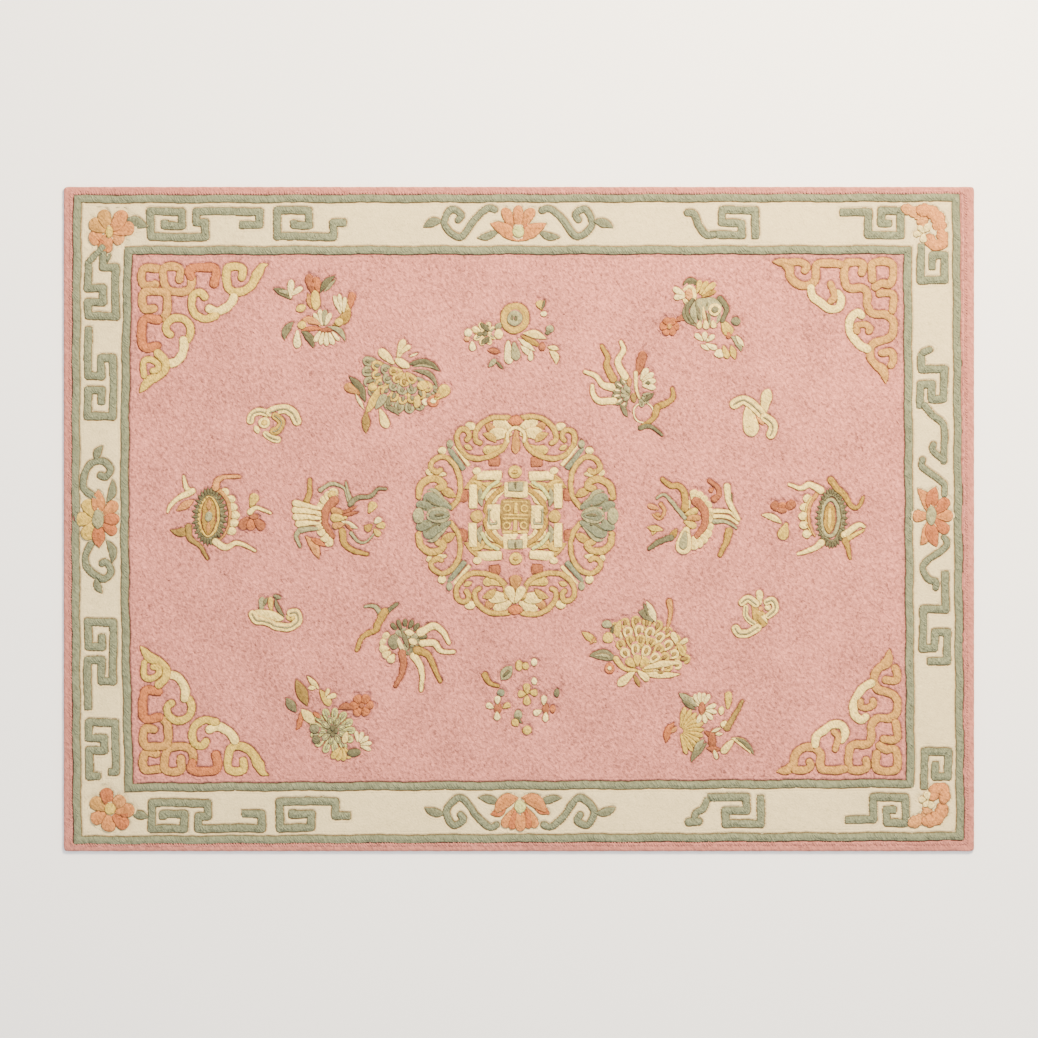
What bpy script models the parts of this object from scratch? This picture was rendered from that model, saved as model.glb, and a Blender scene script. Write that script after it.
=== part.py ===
# Hand-tufted wool rug, lying flat, with a pattern carved and raised in its pile. Sizes are in metres.
# The pattern stands on a chart of squares, one square to two rows of tufts. Tables count in squares,
# x to the right and y down the rug, from the rug's centre or from the home of their own figure.
import math
from collections import namedtuple

import bpy
import numpy as np
from mathutils import Vector
from mathutils.geometry import delaunay_2d_cdt

RUG_LENGTH = 3.350
RUG_WIDTH = 2.445
CHART_LENGTH = 911  # squares along the rug
SQUARE = RUG_LENGTH / CHART_LENGTH
PILE_TOP = 0.0150  # height of the plain pile above the floor
EDGE_HEIGHT = 0.0085  # straight wall of the turned edge
EDGE_ROUND = 0.009  # how far in the pile rolls over
CORNER_RADIUS = 0.012
GROOVE_DEPTH = 0.0040  # carved round the guard stripes and the frets
GROOVE_REACH = 0.0070
CROWN_RISE = 0.0025  # how far figures stand above the plain pile
CROWN_REACH = 0.0090  # from a figure's edge to its full height
MERGE_GAP = 0.0004

STRIPE_WIDTH = 8.2
KEY_WIDTH = 7.5
SCROLL_WIDTH = 6.5

# Shape of a lobe: how wide it is along its length, as shares of its full width
LOBE_SHAPES = {
    "leaf": ((0, 0), (0.25, 0.75), (0.55, 1), (0.8, 0.62), (1, 0)),
    "petal": ((0, 0.35), (0.4, 0.8), (0.72, 1), (0.92, 0.62), (1, 0)),
    "oval": ((0, 0), (0.15, 0.71), (0.5, 1), (0.85, 0.71), (1, 0)),
    "band": ((0, 0.5), (0.12, 1), (0.88, 1), (1, 0.5)),
    "block": ((0, 1), (1, 1)),
}

Station = namedtuple("Station", "x y half")
Stroke = namedtuple("Stroke", "stations closed carved")
Key = namedtuple("Key", "x y first runs")
Lobe = namedtuple("Lobe", "shape x y to_x to_y bow width")
Home = namedtuple("Home", "x y")

# Guard stripes: middle line of each, corner by corner, with the left side drawn in a little at its middle
OUTER_STRIPE = ((-441.5, -320), (437, -321.5), (441, 317.5), (-441.5, 321.5), (-443.5, -1.5))
INNER_STRIPE = ((-391, -268.5), (388.5, -269), (391.5, 264.5), (-390, 268.5), (-394.5, -1.5))

# Key frets of the border: start, whether the first run goes down or across, then the runs in turn
KEYS = (
    Key(-354.5, -299.5, "down", (6, 17.5, -14, -31.5, 25.5, 55, -14.5, -9, -11, 63, 13, -20)),
    Key(-225, -299, "down", (5.5, 15, -15, -31.5, 26, 55.5, -14, 13.5)),
    Key(187.5, -284, "across", (35.5, -12, -20, -13, 33.5, 29)),
    Key(320.5, -306.5, "across", (29, 22.5, 32.5, -24.5, -19.5, 12.5, 11)),
    Key(-356.5, 300.5, "down", (-5, 21.5, 14.5, -32.5, -26, 56, 13, -9.5, 12.5, 63.5, -14.5, -20)),
    Key(-227.5, 298.5, "down", (-3, 19.5, 13.5, -31.5, -26.5, 55.5, 14, 15.5)),
    Key(241.5, 275.5, "down", (29.5, -35, -13, 21, -13.5, -39)),
    Key(325.5, 300.5, "across", (29, -22, 32, 25.5, -19, -13, 10)),
    Key(-431, -258, "down", (27.5, 15, 14, -15, 13.5, 27.5, -48.5, -13)),
    Key(-431, -192.5, "down", (49.5, 13, -18.5, 12, 59, -25.5, -26, 13.5, 15)),
    Key(-417.5, 114.5, "down", (13.5, -13.5, -25, 25, 59.5, -11, -21, -14, 50)),
    Key(-411.5, 252.5, "across", (8, -49, -26.5, 15.5, 15.5, 12.5, -15.5, 26.5, 12)),
    Key(402, -275.5, "down", (36.5, 24, -24.5, -12.5, 15)),
    Key(405.5, -149.5, "across", (19.5, 30, -12, -15, -11.5, 24)),
    Key(426.5, 52.5, "down", (38, -23, 39, 12, -16, 12.5, 29, -20.5)),
    Key(405.5, 270.5, "down", (-37.5, 24, 25, -13, -15)),
)

# Scrolls of the border, each a smooth line through a few points from its home
CENTRE_SCROLL = ((-20, -11), (-31, -14), (-44, -3), (-57, 13.5), (-67, 11), (-74, 0), (-67, -13), (-57, -8), (-61, -1.5))
CENTRE_LEAF = ((-76, -1), (-88, -1), (-95, 5))
LOW_LEAF = ((-21, 8), (-31, 13), (-42, 15))
LEFT_SCROLL = ((-1, -20), (-13, -29), (-13, -42), (-8, -53), (4, -57), (13, -50), (9, -42), (2, -43))
LEFT_BUD = ((-4, -55), (-1, -63), (5, -71))
RIGHT_SCROLL_UP = ((12, -19), (12, -32), (1, -40), (-9, -49), (-7, -58), (2, -62), (12, -73), (12, -88), (0, -102), (-11, -107))
RIGHT_SCROLL_DOWN = ((12, 20), (14, 31), (-4, 44), (-9, 54), (-2, 64), (6, 70))

# Cloud-scroll corners, from the inner corner of the field: left pair, then right pair (run to the right edge)
LEFT_CORNER = (
    ((29, 13.5), (12, 13.5), (12, 29), (25, 29)),
    ((48, 26), (48, 13), (33, 13), (33, 29), (39, 36), (54, 36), (60, 29), (60, 13), (83, 13), (83, 29)),
    ((110, 24), (110, 13), (96, 13), (96, 29), (102, 36.5), (112, 36), (120, 30), (125, 20), (130, 11), (136, 10)),
    ((103, 40), (101, 46), (95, 52), (85, 56), (76, 52.5)),
    ((85, 61), (73, 63), (63, 58), (59.5, 48), (62, 39), (69, 37), (74, 42)),
    ((23, 53), (12, 53), (12, 37), (31, 37), (35, 42), (35, 57), (29, 65), (12, 65), (12, 91), (27, 91)),
    ((40.5, 80), (35.5, 76), (35.5, 69), (41, 63.5), (49, 62.5), (56.5, 67), (59.5, 75), (56.5, 85)),
    ((52, 83), (52.5, 91), (50, 99), (44, 106), (37, 108)),
    ((26, 98), (33, 106), (33, 114), (26, 121), (16, 125), (9, 134)),
    ((12, 119), (12, 107), (20, 104), (26, 109), (25, 115), (19, 116)),
)
RIGHT_CORNER = (
    ((-31, 27), (-31, 10), (-12, 10), (-12, 29), (-22, 30), (-29, 34)),
    ((-42, 20), (-42, 10), (-58, 10), (-58, 29), (-52, 34), (-41, 34), (-36, 39), (-36, 52), (-31, 60), (-18, 61)),
    ((-18, 61), (-11, 67), (-11, 79), (-17, 85), (-29, 89), (-33, 96), (-32, 105), (-27, 112), (-19, 115), (-13.5, 131)),
    ((-25, 40), (-11, 40), (-10, 49), (-12, 58)),
    ((-60, 10), (-73, 9), (-85, 10), (-87.5, 15), (-87.5, 25), (-93, 31), (-100, 32), (-108, 29), (-113, 22), (-115, 12)),
    ((-127, 9), (-114, 9), (-103, 8), (-96.5, 13), (-99, 18)),
    ((-93, 33), (-91, 43), (-83, 49), (-74, 55), (-65, 53), (-62, 45), (-66, 37)),
    ((-72, 30), (-70, 37), (-69, 43), (-74, 48)),
    ((-34, 97), (-43, 92), (-50, 84), (-54.5, 74), (-53, 64), (-46, 58.5), (-40, 63)),
    ((-47, 78), (-47, 72), (-39, 71), (-34, 75), (-36, 79)),
    ((-23, 99), (-12, 98), (-10, 106), (-13, 113)),
)

# Medallion, from its home: lines of the outer ring's quarter, then lobes and blocks
TOP_LOOP = ((8, -99), (28, -99), (39, -91), (41, -79), (35, -74))
LOW_LOOP = ((9, -75), (16, -65), (30, -59), (46, -60), (56, -70), (54, -84), (47, -88))
SIDE_LOOP = ((69, -8), (60, -22), (58.5, -37), (61, -53), (70, -60), (81, -59), (86, -51))
LOTUS_ARC = ((101, -18), (99, -31), (88, -38), (76, -35))
MEDALLION_QUARTER = (
    Lobe("block", 75, -72, 51, -48, 0, 12),
    Lobe("petal", 5, -92, 24, -99, 0, 10),
    Lobe("petal", 10, -82, 34, -81, -3, 10),
    Lobe("petal", 14, -75, 32, -64, 0, 9),
    Lobe("petal", 80, -6, 84, -22, 0, 15),
    Lobe("block", 14, -42, 36, -42, 0, 9),
    Lobe("block", 43, -33, 43, -7, 0, 8),
)
MEDALLION_HALF = (
    Lobe("oval", 0, -87, 0, -65, 0, 9),
    Lobe("oval", -7, -97, 7, -97, 0, 9),
    Lobe("oval", -6, -44.5, 6, -44.5, 0, 12),
    Lobe("block", -12, -27, 12, -27, 0, 14),
)
MEDALLION_SIDE = (
    Lobe("oval", 35, 0, 47, 0, 0, 12),
    Lobe("petal", 88, 0, 103, 0, 0, 18),
    Lobe("oval", 70, 0, 86, 0, 0, 13),
)
MEDALLION_RING = 31.5
MEDALLION_BAND = 5
CENTRE_FRET_WIDTH = 5.2
CENTRE_FRET = (
    ((-12.5, -15), (12.5, -15)),
    ((-12.5, 1), (12.5, 1)),
    ((-12.5, 17), (12.5, 17)),
    ((0, -11), (0, -3)),
    ((0, 5), (0, 13)),
)

# Border flowers: petals round a home, as an oval with the given reach
Flower = namedtuple("Flower", "x y reach_x reach_y petals width turn")
FLOWERS = (
    Flower(0, -293, 27, 19, 7, 13, -90),
    Flower(1, 293, 28, 19, 8, 13, 0),
    Flower(-419.5, -0.5, 18, 27, 8, 12, 0),
    Flower(414, -2.5, 19, 28, 8, 13, 0),
    Flower(-408.5, -288.5, 21, 21, 7, 14, 0),
    Flower(-408, 291, 21, 21, 7, 14, 0),
)
RIGHT_CORNER_CLOUD = ((387, -308), (400, -309), (410, -302), (418, -298), (419, -286), (425, -274))
LOW_CORNER_CLOUD = ((409, 272), (424, 268), (426, 282), (420, 292), (408, 304), (394, 305))

# Flower sprays and butterflies: the main lobes of each, from its home
SPRAYS = {
    Home(-203.5, -208.5): (
        Lobe("petal", -2, -17, -6, -34, 0, 12),
        Lobe("oval", -1, -19, 0, -1, 0, 10),
        Lobe("leaf", -41, -21, -24, -12, 3, 9),
        Lobe("petal", -25, -13, -24, -31, 0, 7),
        Lobe("leaf", 5, -18, 19, -34, 0, 7),
        Lobe("petal", 34, -5, 37, -18, 0, 8),
        Lobe("petal", 25, 8, 22, -15, 0, 10),
        Lobe("oval", -17, 15, -8, 15, 0, 10),
        Lobe("leaf", 11, 16, 29, 30, 4, 6),
        Lobe("leaf", -13, 23, -3, 36, 0, 7),
        Lobe("petal", 10, 22, 12, 34, 0, 12),
    ),
    Home(-120.5, -130.5): (
        Lobe("petal", -7, -28, -18, -37, 0, 8),
        Lobe("petal", -1, -32, 5, -49, 0, 8),
        Lobe("leaf", 12, -21, 40, -18, 4, 6),
        Lobe("leaf", 3, -20, -28, -26, 3, 9),
        Lobe("leaf", -5, -11, -34, -12, 2, 10),
        Lobe("leaf", 7, -18, 38, -3, 5, 9),
        Lobe("leaf", 2, -12, 13, 9, 1, 11),
        Lobe("leaf", -49, -11, -34, 13, 0, 8),
        Lobe("leaf", -20, 0, -32, 24, 0, 8),
        Lobe("petal", -20, 20, -14, 8, 0, 9),
        Lobe("petal", -17, 22, -11, 38, 0, 9),
        Lobe("petal", 40, -2, 52, 10, 0, 12),
    ),
    Home(-4.5, -198.5): (
        Lobe("petal", -12, 13, -34, 8, 0, 10),
        Lobe("petal", -14, 14, -35, 24, 0, 7),
        Lobe("petal", -42, 14, -48, 12, 0, 8),
        Lobe("leaf", -2, 19, -7, 44, -2, 8),
        Lobe("petal", 12, 26, 17, 40, -3, 8),
        Lobe("leaf", 6, 12, 32, 19, 2, 8),
        Lobe("leaf", 5, 13, 30, 26, 2, 5),
        Lobe("leaf", 32, 26, 42, 44, 4, 6),
        Lobe("petal", 26, -11, 28, -20, 0, 9),
    ),
    Home(111.5, -130.5): (
        Lobe("leaf", -17, -6, -28, -44, 6, 8),
        Lobe("leaf", -5, -8, -10, -49, 0, 9),
        Lobe("leaf", -14, 0, -48, -17, 0, 8),
        Lobe("leaf", -14, 11, -39, -1, -8, 9),
        Lobe("petal", 9, -10, 12, -37, 0, 9),
        Lobe("block", -13, -6, -11, 16, 0, 8),
        Lobe("leaf", 8, 36, 43, 1, 8, 9),
        Lobe("leaf", 7, 38, 32, 47, 3, 6),
        Lobe("leaf", 4, -12, 12, 8, -2, 6),
    ),
    Home(184.5, -200.5): (
        Lobe("oval", -10, -10, 24, -2, 0, 24),
        Lobe("petal", 0, -22, 12, -37, 0, 15),
        Lobe("petal", -9, -28, -17, -34, 0, 12),
        Lobe("oval", -30, -24, -12, -18, 0, 10),
        Lobe("oval", -39, 8, -24, 10, 0, 20),
        Lobe("petal", -24, 5, -16, 3, 0, 8),
        Lobe("petal", 24, 16, 27, 2, 0, 12),
        Lobe("leaf", 28, 20, 34, 37, 0, 9),
    ),
    Home(-306.5, -3.5): (
        Lobe("leaf", 2, -26, 27, -36, 8, 8),
        Lobe("leaf", -19, -24, -28, -41, 2, 8),
        Lobe("leaf", -20, -26, -44, -2, 3, 8),
        Lobe("leaf", -19, 8, -38, 14, 5, 7),
        Lobe("leaf", -24, 12, -5, 41, 3, 8),
        Lobe("leaf", 0, 27, 41, 33, -3, 9),
        Lobe("oval", 20, -15, 20, 19, -4, 9),
        Lobe("oval", 29, 11, 39, 11, 0, 10),
        Lobe("leaf", 37, -5, 58, 0, 3, 7),
    ),
    Home(-181.5, -2.5): (
        Lobe("petal", -12, 6, -43, -10, 0, 13),
        Lobe("petal", -6, -8, -2, -25, 4, 12),
        Lobe("oval", -12, -12, -3, 20, -3, 9),
        Lobe("leaf", -35, -12, -28, -38, 0, 7),
        Lobe("leaf", 12, -9, 48, -29, 0, 5),
        Lobe("leaf", 6, 14, 29, 36, -8, 8),
        Lobe("petal", -5, 15, 0, 29, 0, 13),
        Lobe("leaf", -33, 23, -21, 40, 0, 8),
        Lobe("oval", 30, 14, 42, 18, 0, 8),
    ),
    Home(174.5, -2.5): (
        Lobe("leaf", -9, -8, -29, -36, 9, 8),
        Lobe("oval", 6, -14, 6, 18, 4, 9),
        Lobe("petal", 14, -2, 16, -24, 5, 10),
        Lobe("petal", 22, 2, 45, 6, 3, 14),
        Lobe("leaf", -18, 21, -44, 33, 0, 7),
        Lobe("leaf", 36, 16, 29, 40, -3, 8),
        Lobe("petal", -11, 30, -2, 14, -3, 12),
        Lobe("oval", -34, -9, -34, 5, 0, 10),
        Lobe("petal", 27, -22, 18, -34, -2, 8),
    ),
    Home(300.5, -3.5): (
        Lobe("leaf", 0, -26, -32, -33, -2, 8),
        Lobe("leaf", 24, -12, 11, -38, -2, 8),
        Lobe("leaf", 24, -10, 41, -16, -9, 8),
        Lobe("leaf", 24, 20, 45, 8, 0, 9),
        Lobe("leaf", 28, 22, 30, 40, 0, 8),
        Lobe("leaf", 2, 28, -19, 37, 0, 7),
        Lobe("oval", -14, -18, -13, 22, 3, 9),
        Lobe("petal", -42, 2, -30, -12, 0, 18),
        Lobe("leaf", -38, 6, -57, 0, 0, 6),
        Lobe("oval", -36, 10, -36, 22, 0, 9),
    ),
    Home(-116.5, 124.5): (
        Lobe("leaf", 16, -10, 44, -2, 9, 8),
        Lobe("leaf", 18, 2, 50, 12, 4, 8),
        Lobe("leaf", 14, 8, 38, 37, 6, 8),
        Lobe("leaf", 9, 10, 19, 45, 4, 8),
        Lobe("leaf", -1, 10, -6, 42, 3, 8),
        Lobe("leaf", -18, -26, -43, 5, -2, 8),
        Lobe("petal", -22, -28, -37, -38, 0, 6),
        Lobe("petal", -22, -30, -8, -38, 0, 6),
        Lobe("block", -2, -14, 6, 10, 0, 14),
        Lobe("oval", -23, 12, -14, 12, 0, 9),
    ),
    Home(116.5, 121.5): (
        Lobe("oval", -15, -2, 18, 18, 0, 32),
        Lobe("petal", 20, 16, 32, 20, 0, 9),
        Lobe("petal", 12, -6, 24, -6, 0, 12),
        Lobe("petal", 14, -8, 18, -20, 0, 9),
        Lobe("leaf", 14, -20, 15, -42, 3, 11),
        Lobe("leaf", 32, -12, 34, -39, 0, 6),
        Lobe("leaf", -20, 16, -43, 16, 0, 12),
        Lobe("petal", -35, -4, -53, -6, 0, 8),
        Lobe("petal", 0, 32, -16, 46, 0, 9),
        Lobe("petal", 2, 31, 13, 38, 0, 8),
        Lobe("leaf", 36, -8, 47, 14, 0, 7),
    ),
    Home(-188.5, 199.5): (
        Lobe("oval", -12, 8, 18, 8, 0, 26),
        Lobe("leaf", -34, -33, -24, -14, 0, 9),
        Lobe("petal", -16, 2, -30, -9, 0, 9),
        Lobe("petal", -34, -9, -43, -18, 0, 8),
        Lobe("oval", 16, -8, 44, -14, 0, 18),
        Lobe("petal", 8, 24, 4, 39, 0, 12),
        Lobe("oval", 17, 32, 29, 34, 0, 9),
        Lobe("petal", -4, -16, -24, -37, 0, 8),
    ),
    Home(4.5, 175.5): (
        Lobe("oval", -8, -37, -4, -25, 0, 7),
        Lobe("leaf", -26, -8, -42, -21, -3, 6),
        Lobe("oval", -30, 3, -22, 24, 0, 8),
        Lobe("oval", -1, -9, 4, 8, 0, 7),
        Lobe("oval", 18, 2, 24, 22, 0, 8),
        Lobe("oval", -13, 22, -5, 30, 0, 8),
        Lobe("oval", 1, 34, 7, 40, 0, 7),
    ),
    Home(188.5, 205.5): (
        Lobe("leaf", -12, -19, -27, -32, 2, 9),
        Lobe("petal", -7, -22, -8, -33, 0, 14),
        Lobe("petal", -4, -14, 2, -6, 0, 10),
        Lobe("oval", -28, -16, -20, 24, 2, 14),
        Lobe("leaf", 19, 4, 33, -24, 0, 6),
        Lobe("petal", 18, -14, 20, -31, 0, 7),
        Lobe("oval", 2, 8, 10, 30, 0, 11),
        Lobe("leaf", -2, 18, -16, 34, 0, 8),
        Lobe("petal", 24, 18, 41, 28, 0, 8),
    ),
    Home(-246.5, -96.5): (
        Lobe("petal", -5, -8, 22, -3, 7, 9),
        Lobe("petal", -8, -6, -23, 4, -4, 8),
        Lobe("oval", -14, 0, -3, 9, 0, 11),
        Lobe("petal", -9, 8, 7, 19, -4, 7),
    ),
    Home(235.5, -101.5): (
        Lobe("petal", 6, -10, -20, -15, -5, 13),
        Lobe("petal", 0, -4, -3, 18, 0, 16),
        Lobe("petal", 8, 0, 20, 15, 3, 11),
        Lobe("petal", 12, -8, 13, -27, 0, 8),
    ),
    Home(-243.5, 92.5): (
        Lobe("oval", -24, 1, 23, 9, 0, 13),
        Lobe("petal", -10, -2, -14, -14, 0, 8),
        Lobe("petal", 0, -1, 5, -16, 0, 8),
    ),
    Home(236.5, 95.5): (
        Lobe("petal", 0, -10, -15, -12, 3, 11),
        Lobe("petal", 8, -8, 4, -22, 0, 10),
        Lobe("oval", 10, -8, 18, 0, 0, 12),
        Lobe("oval", -4, -10, 8, 8, 0, 13),
        Lobe("petal", -2, 14, -21, 17, -3, 10),
    ),
}


def key_stroke(key):
    """A fret's corners, with its full width at each."""
    x, y, down = key.x, key.y, key.first == "down"
    stations = [Station(x, y, KEY_WIDTH / 2)]
    for run in key.runs:
        x, y, down = (x, y + run, False) if down else (x + run, y, True)
        stations.append(Station(x, y, KEY_WIDTH / 2))
    return Stroke(stations, False, True)


def curve_stroke(points, home, width, flip=(1, 1), carved=False, per_span=2):
    """A smooth line through the points, as a Catmull-Rom curve, in from its ends to half its width."""
    placed = [Vector((home[0] + flip[0] * x, home[1] + flip[1] * y)) for x, y in points]
    ends = [2 * placed[0] - placed[1]] + placed + [2 * placed[-1] - placed[-2]]
    stations = []
    for i in range(len(placed) - 1):
        a, b, c, d = ends[i : i + 4]
        for step in range(per_span):
            t = step / per_span
            spot = 0.5 * (2 * b + (c - a) * t + (2 * a - 5 * b + 4 * c - d) * t * t + (3 * b - a - 3 * c + d) * t**3)
            stations.append(Station(spot.x, spot.y, width / 2))
    stations.append(Station(placed[-1].x, placed[-1].y, width / 3))
    return Stroke(stations, False, carved)


def lobe_stroke(lobe, home, flip=(1, 1)):
    """A petal, leaf or block from its root to its tip, bowed to the left of its way by its bow."""
    start = Vector((home[0] + flip[0] * lobe.x, home[1] + flip[1] * lobe.y))
    end = Vector((home[0] + flip[0] * lobe.to_x, home[1] + flip[1] * lobe.to_y))
    way = (end - start).normalized()
    side = Vector((way.y, -way.x)) * flip[0] * flip[1]
    stations = []
    for t, share in LOBE_SHAPES[lobe.shape]:
        spot = start.lerp(end, t) + side * lobe.bow * math.sin(math.pi * t)
        stations.append(Station(spot.x, spot.y, share * lobe.width / 2))
    return Stroke(stations, False, False)


def ring_stroke(home, radius, width, steps=20):
    around = [2 * math.pi * i / steps for i in range(steps)]
    stations = [Station(home[0] + radius * math.cos(a), home[1] + radius * math.sin(a), width / 2) for a in around]
    return Stroke(stations, True, False)


def flower_strokes(flower):
    """Petals set round an oval, with a gap for the heart of the flower."""
    strokes = []
    for i in range(flower.petals):
        a = math.radians(flower.turn + 360 * i / flower.petals)
        out = (flower.reach_x * math.cos(a), flower.reach_y * math.sin(a))
        root = 0.35
        petal = Lobe("petal", root * out[0], root * out[1], out[0], out[1], 0, flower.width)
        strokes.append(lobe_stroke(petal, (flower.x, flower.y)))
    heart = Lobe("oval", -flower.reach_x * 0.25, 0, flower.reach_x * 0.25, 0, 0, flower.reach_y * 0.5)
    return strokes + [lobe_stroke(heart, (flower.x, flower.y))]


def border_strokes():
    strokes = [
        Stroke([Station(x, y, STRIPE_WIDTH / 2) for x, y in stripe], True, True)
        for stripe in (OUTER_STRIPE, INNER_STRIPE)
    ]
    strokes += [key_stroke(key) for key in KEYS]
    for side in (-1, 1):
        for home, up in (((0, -296.5), 1), ((1, 293.5), -1)):
            for points in (CENTRE_SCROLL, CENTRE_LEAF, LOW_LEAF):
                strokes.append(curve_stroke(points, home, SCROLL_WIDTH, (side, up)))
        for points in (LEFT_SCROLL, LEFT_BUD):
            strokes.append(curve_stroke(points, (-421, -1), SCROLL_WIDTH, (1, side)))
    for points in (RIGHT_SCROLL_UP, RIGHT_SCROLL_DOWN):
        strokes.append(curve_stroke(points, (413, -3), SCROLL_WIDTH))
    for flower in FLOWERS:
        strokes += flower_strokes(flower)
    for points in (RIGHT_CORNER_CLOUD, LOW_CORNER_CLOUD):
        strokes.append(curve_stroke(points, (0, 0), 12))
    return strokes


def corner_strokes():
    strokes = []
    for up, low_shift in ((1, 0), (-1, 1)):
        left = (INNER_STRIPE[0][0] + 3.5 + low_shift, up * -263.5 + low_shift)
        right = (384.5 + 4 * low_shift, -265 if up == 1 else 262)
        for points in LEFT_CORNER:
            strokes.append(curve_stroke(points, left, KEY_WIDTH, (1, up), per_span=1))
        for points in RIGHT_CORNER:
            strokes.append(curve_stroke(points, right, KEY_WIDTH, (1, up), per_span=1))
    return strokes


def medallion_strokes():
    home = (-3, -3)
    strokes = [ring_stroke(home, MEDALLION_RING, MEDALLION_BAND)]
    for side in (-1, 1):
        for up in (-1, 1):
            for points in (TOP_LOOP, LOW_LOOP, SIDE_LOOP, LOTUS_ARC):
                strokes.append(curve_stroke(points, home, MEDALLION_BAND, (side, up)))
            strokes += [lobe_stroke(lobe, home, (side, up)) for lobe in MEDALLION_QUARTER]
        strokes += [lobe_stroke(lobe, home, (side, 1)) for lobe in MEDALLION_SIDE]
        strokes += [lobe_stroke(lobe, home, (1, side)) for lobe in MEDALLION_HALF]
    for start, end in CENTRE_FRET:
        strokes.append(lobe_stroke(Lobe("block", *start, *end, 0, CENTRE_FRET_WIDTH), home))
    return strokes


def spray_strokes():
    return [lobe_stroke(lobe, home) for home, lobes in SPRAYS.items() for lobe in lobes]


def in_metres(stroke):
    """The same stroke in metres, with y up the rug."""
    stations = [Station(s.x * SQUARE, -s.y * SQUARE, s.half * SQUARE) for s in stroke.stations]
    return stroke._replace(stations=stations)


def side_points(stroke, reach):
    """The stroke's left and right edges, moved out by reach, with mitred corners."""
    spots = [Vector(s[:2]) for s in stroke.stations]
    count = len(spots)
    left, right = [], []
    for i, station in enumerate(stroke.stations):
        before = spots[i - 1] if i or stroke.closed else None
        after = spots[(i + 1) % count] if i < count - 1 or stroke.closed else None
        come = (spots[i] - before).normalized() if before is not None else (after - spots[i]).normalized()
        go = (after - spots[i]).normalized() if after is not None else come
        middle = (come + go).normalized() if (come + go).length > 0.2 else go
        side = Vector((-middle.y, middle.x))
        mitre = 1 / max(0.6, middle.dot(go))
        wide = (station.half + reach) * mitre
        slide = Vector((0, 0))
        if not stroke.closed and reach:
            slide = -come * reach if i == 0 else (go * reach if i == count - 1 else slide)
        left.append(spots[i] + slide + side * wide)
        right.append(spots[i] + slide - side * wide)
    return left, right


def loops_of(stroke, reach):
    """Closed outlines of the stroke: one of an open line, two of a closed one."""
    left, right = side_points(stroke, reach)
    if stroke.closed:
        return [left, right]
    loop = left + right[::-1]
    return [[p for i, p in enumerate(loop) if (p - loop[i - 1]).length > MERGE_GAP]]


def depth_inside(points, stroke):
    """How far each point lies inside the stroke, below zero outside it."""
    stations = stroke.stations
    pairs = list(zip(stations, stations[1:]))
    if stroke.closed:
        pairs.append((stations[-1], stations[0]))
    deepest = np.full(len(points), -1.0)
    for a, b in pairs:
        run = np.array([b.x - a.x, b.y - a.y])
        share = ((points - [a.x, a.y]) @ run) / (run @ run)
        share = np.clip(share, 0, 1)
        gap = np.hypot(*(points - [a.x, a.y] - share[:, None] * run).T)
        deepest = np.maximum(deepest, a.half + (b.half - a.half) * share - gap)
    return deepest


def heights_at(points, strokes):
    """The pile's height: crowned on a figure, cut down beside a carved one."""
    groove = np.zeros(len(points))
    crown = np.full(len(points), -1.0)
    for stroke in strokes:
        depth = depth_inside(points, stroke)
        inside = depth > 0
        swell = np.clip(depth / CROWN_REACH, 0, 1) ** 0.6
        low = GROOVE_DEPTH if stroke.carved else 0
        crown = np.where(inside, np.maximum(crown, PILE_TOP - low + (CROWN_RISE + low) * swell), crown)
        if stroke.carved:
            groove = np.maximum(groove, np.clip(1 + depth / GROOVE_REACH, 0, 1))
    return np.where(crown > 0, crown, PILE_TOP - GROOVE_DEPTH * groove)


def edge_ring(inset, steps=3):
    """The rug's outline, moved in by inset, with rounded corners."""
    ring = []
    across, along = RUG_LENGTH / 2 - CORNER_RADIUS, RUG_WIDTH / 2 - CORNER_RADIUS
    for x, y, start in ((across, along, 0), (-across, along, 90), (-across, -along, 180), (across, -along, 270)):
        for i in range(steps + 1):
            a = math.radians(start + 90 * i / steps)
            radius = CORNER_RADIUS - inset
            ring.append(Vector((x + radius * math.cos(a), y + radius * math.sin(a))))
    return ring


def plan_points(strokes):
    """Every line that the carved face needs, as points and the edges that join them."""
    points, edges = [], []

    def add(line, closed):
        first = len(points)
        points.extend(line)
        edges.extend((first + i, first + i + 1) for i in range(len(line) - 1))
        if closed:
            edges.append((first + len(line) - 1, first))

    add(edge_ring(0), True)
    add(edge_ring(EDGE_ROUND), True)
    for stroke in strokes:
        for loop in loops_of(stroke, 0):
            add(loop, True)
        if stroke.carved:
            for loop in loops_of(stroke, GROOVE_REACH):
                add(loop, True)
        ridge = [Vector(s[:2]) for s in stroke.stations]
        if not stroke.closed:
            inset = min(CROWN_REACH, stroke.stations[0].half)
            ridge[0] = ridge[0] + (ridge[1] - ridge[0]).normalized() * inset
            ridge[-1] = ridge[-1] + (ridge[-2] - ridge[-1]).normalized() * inset
        add(ridge, stroke.closed)
    return points, edges


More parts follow.
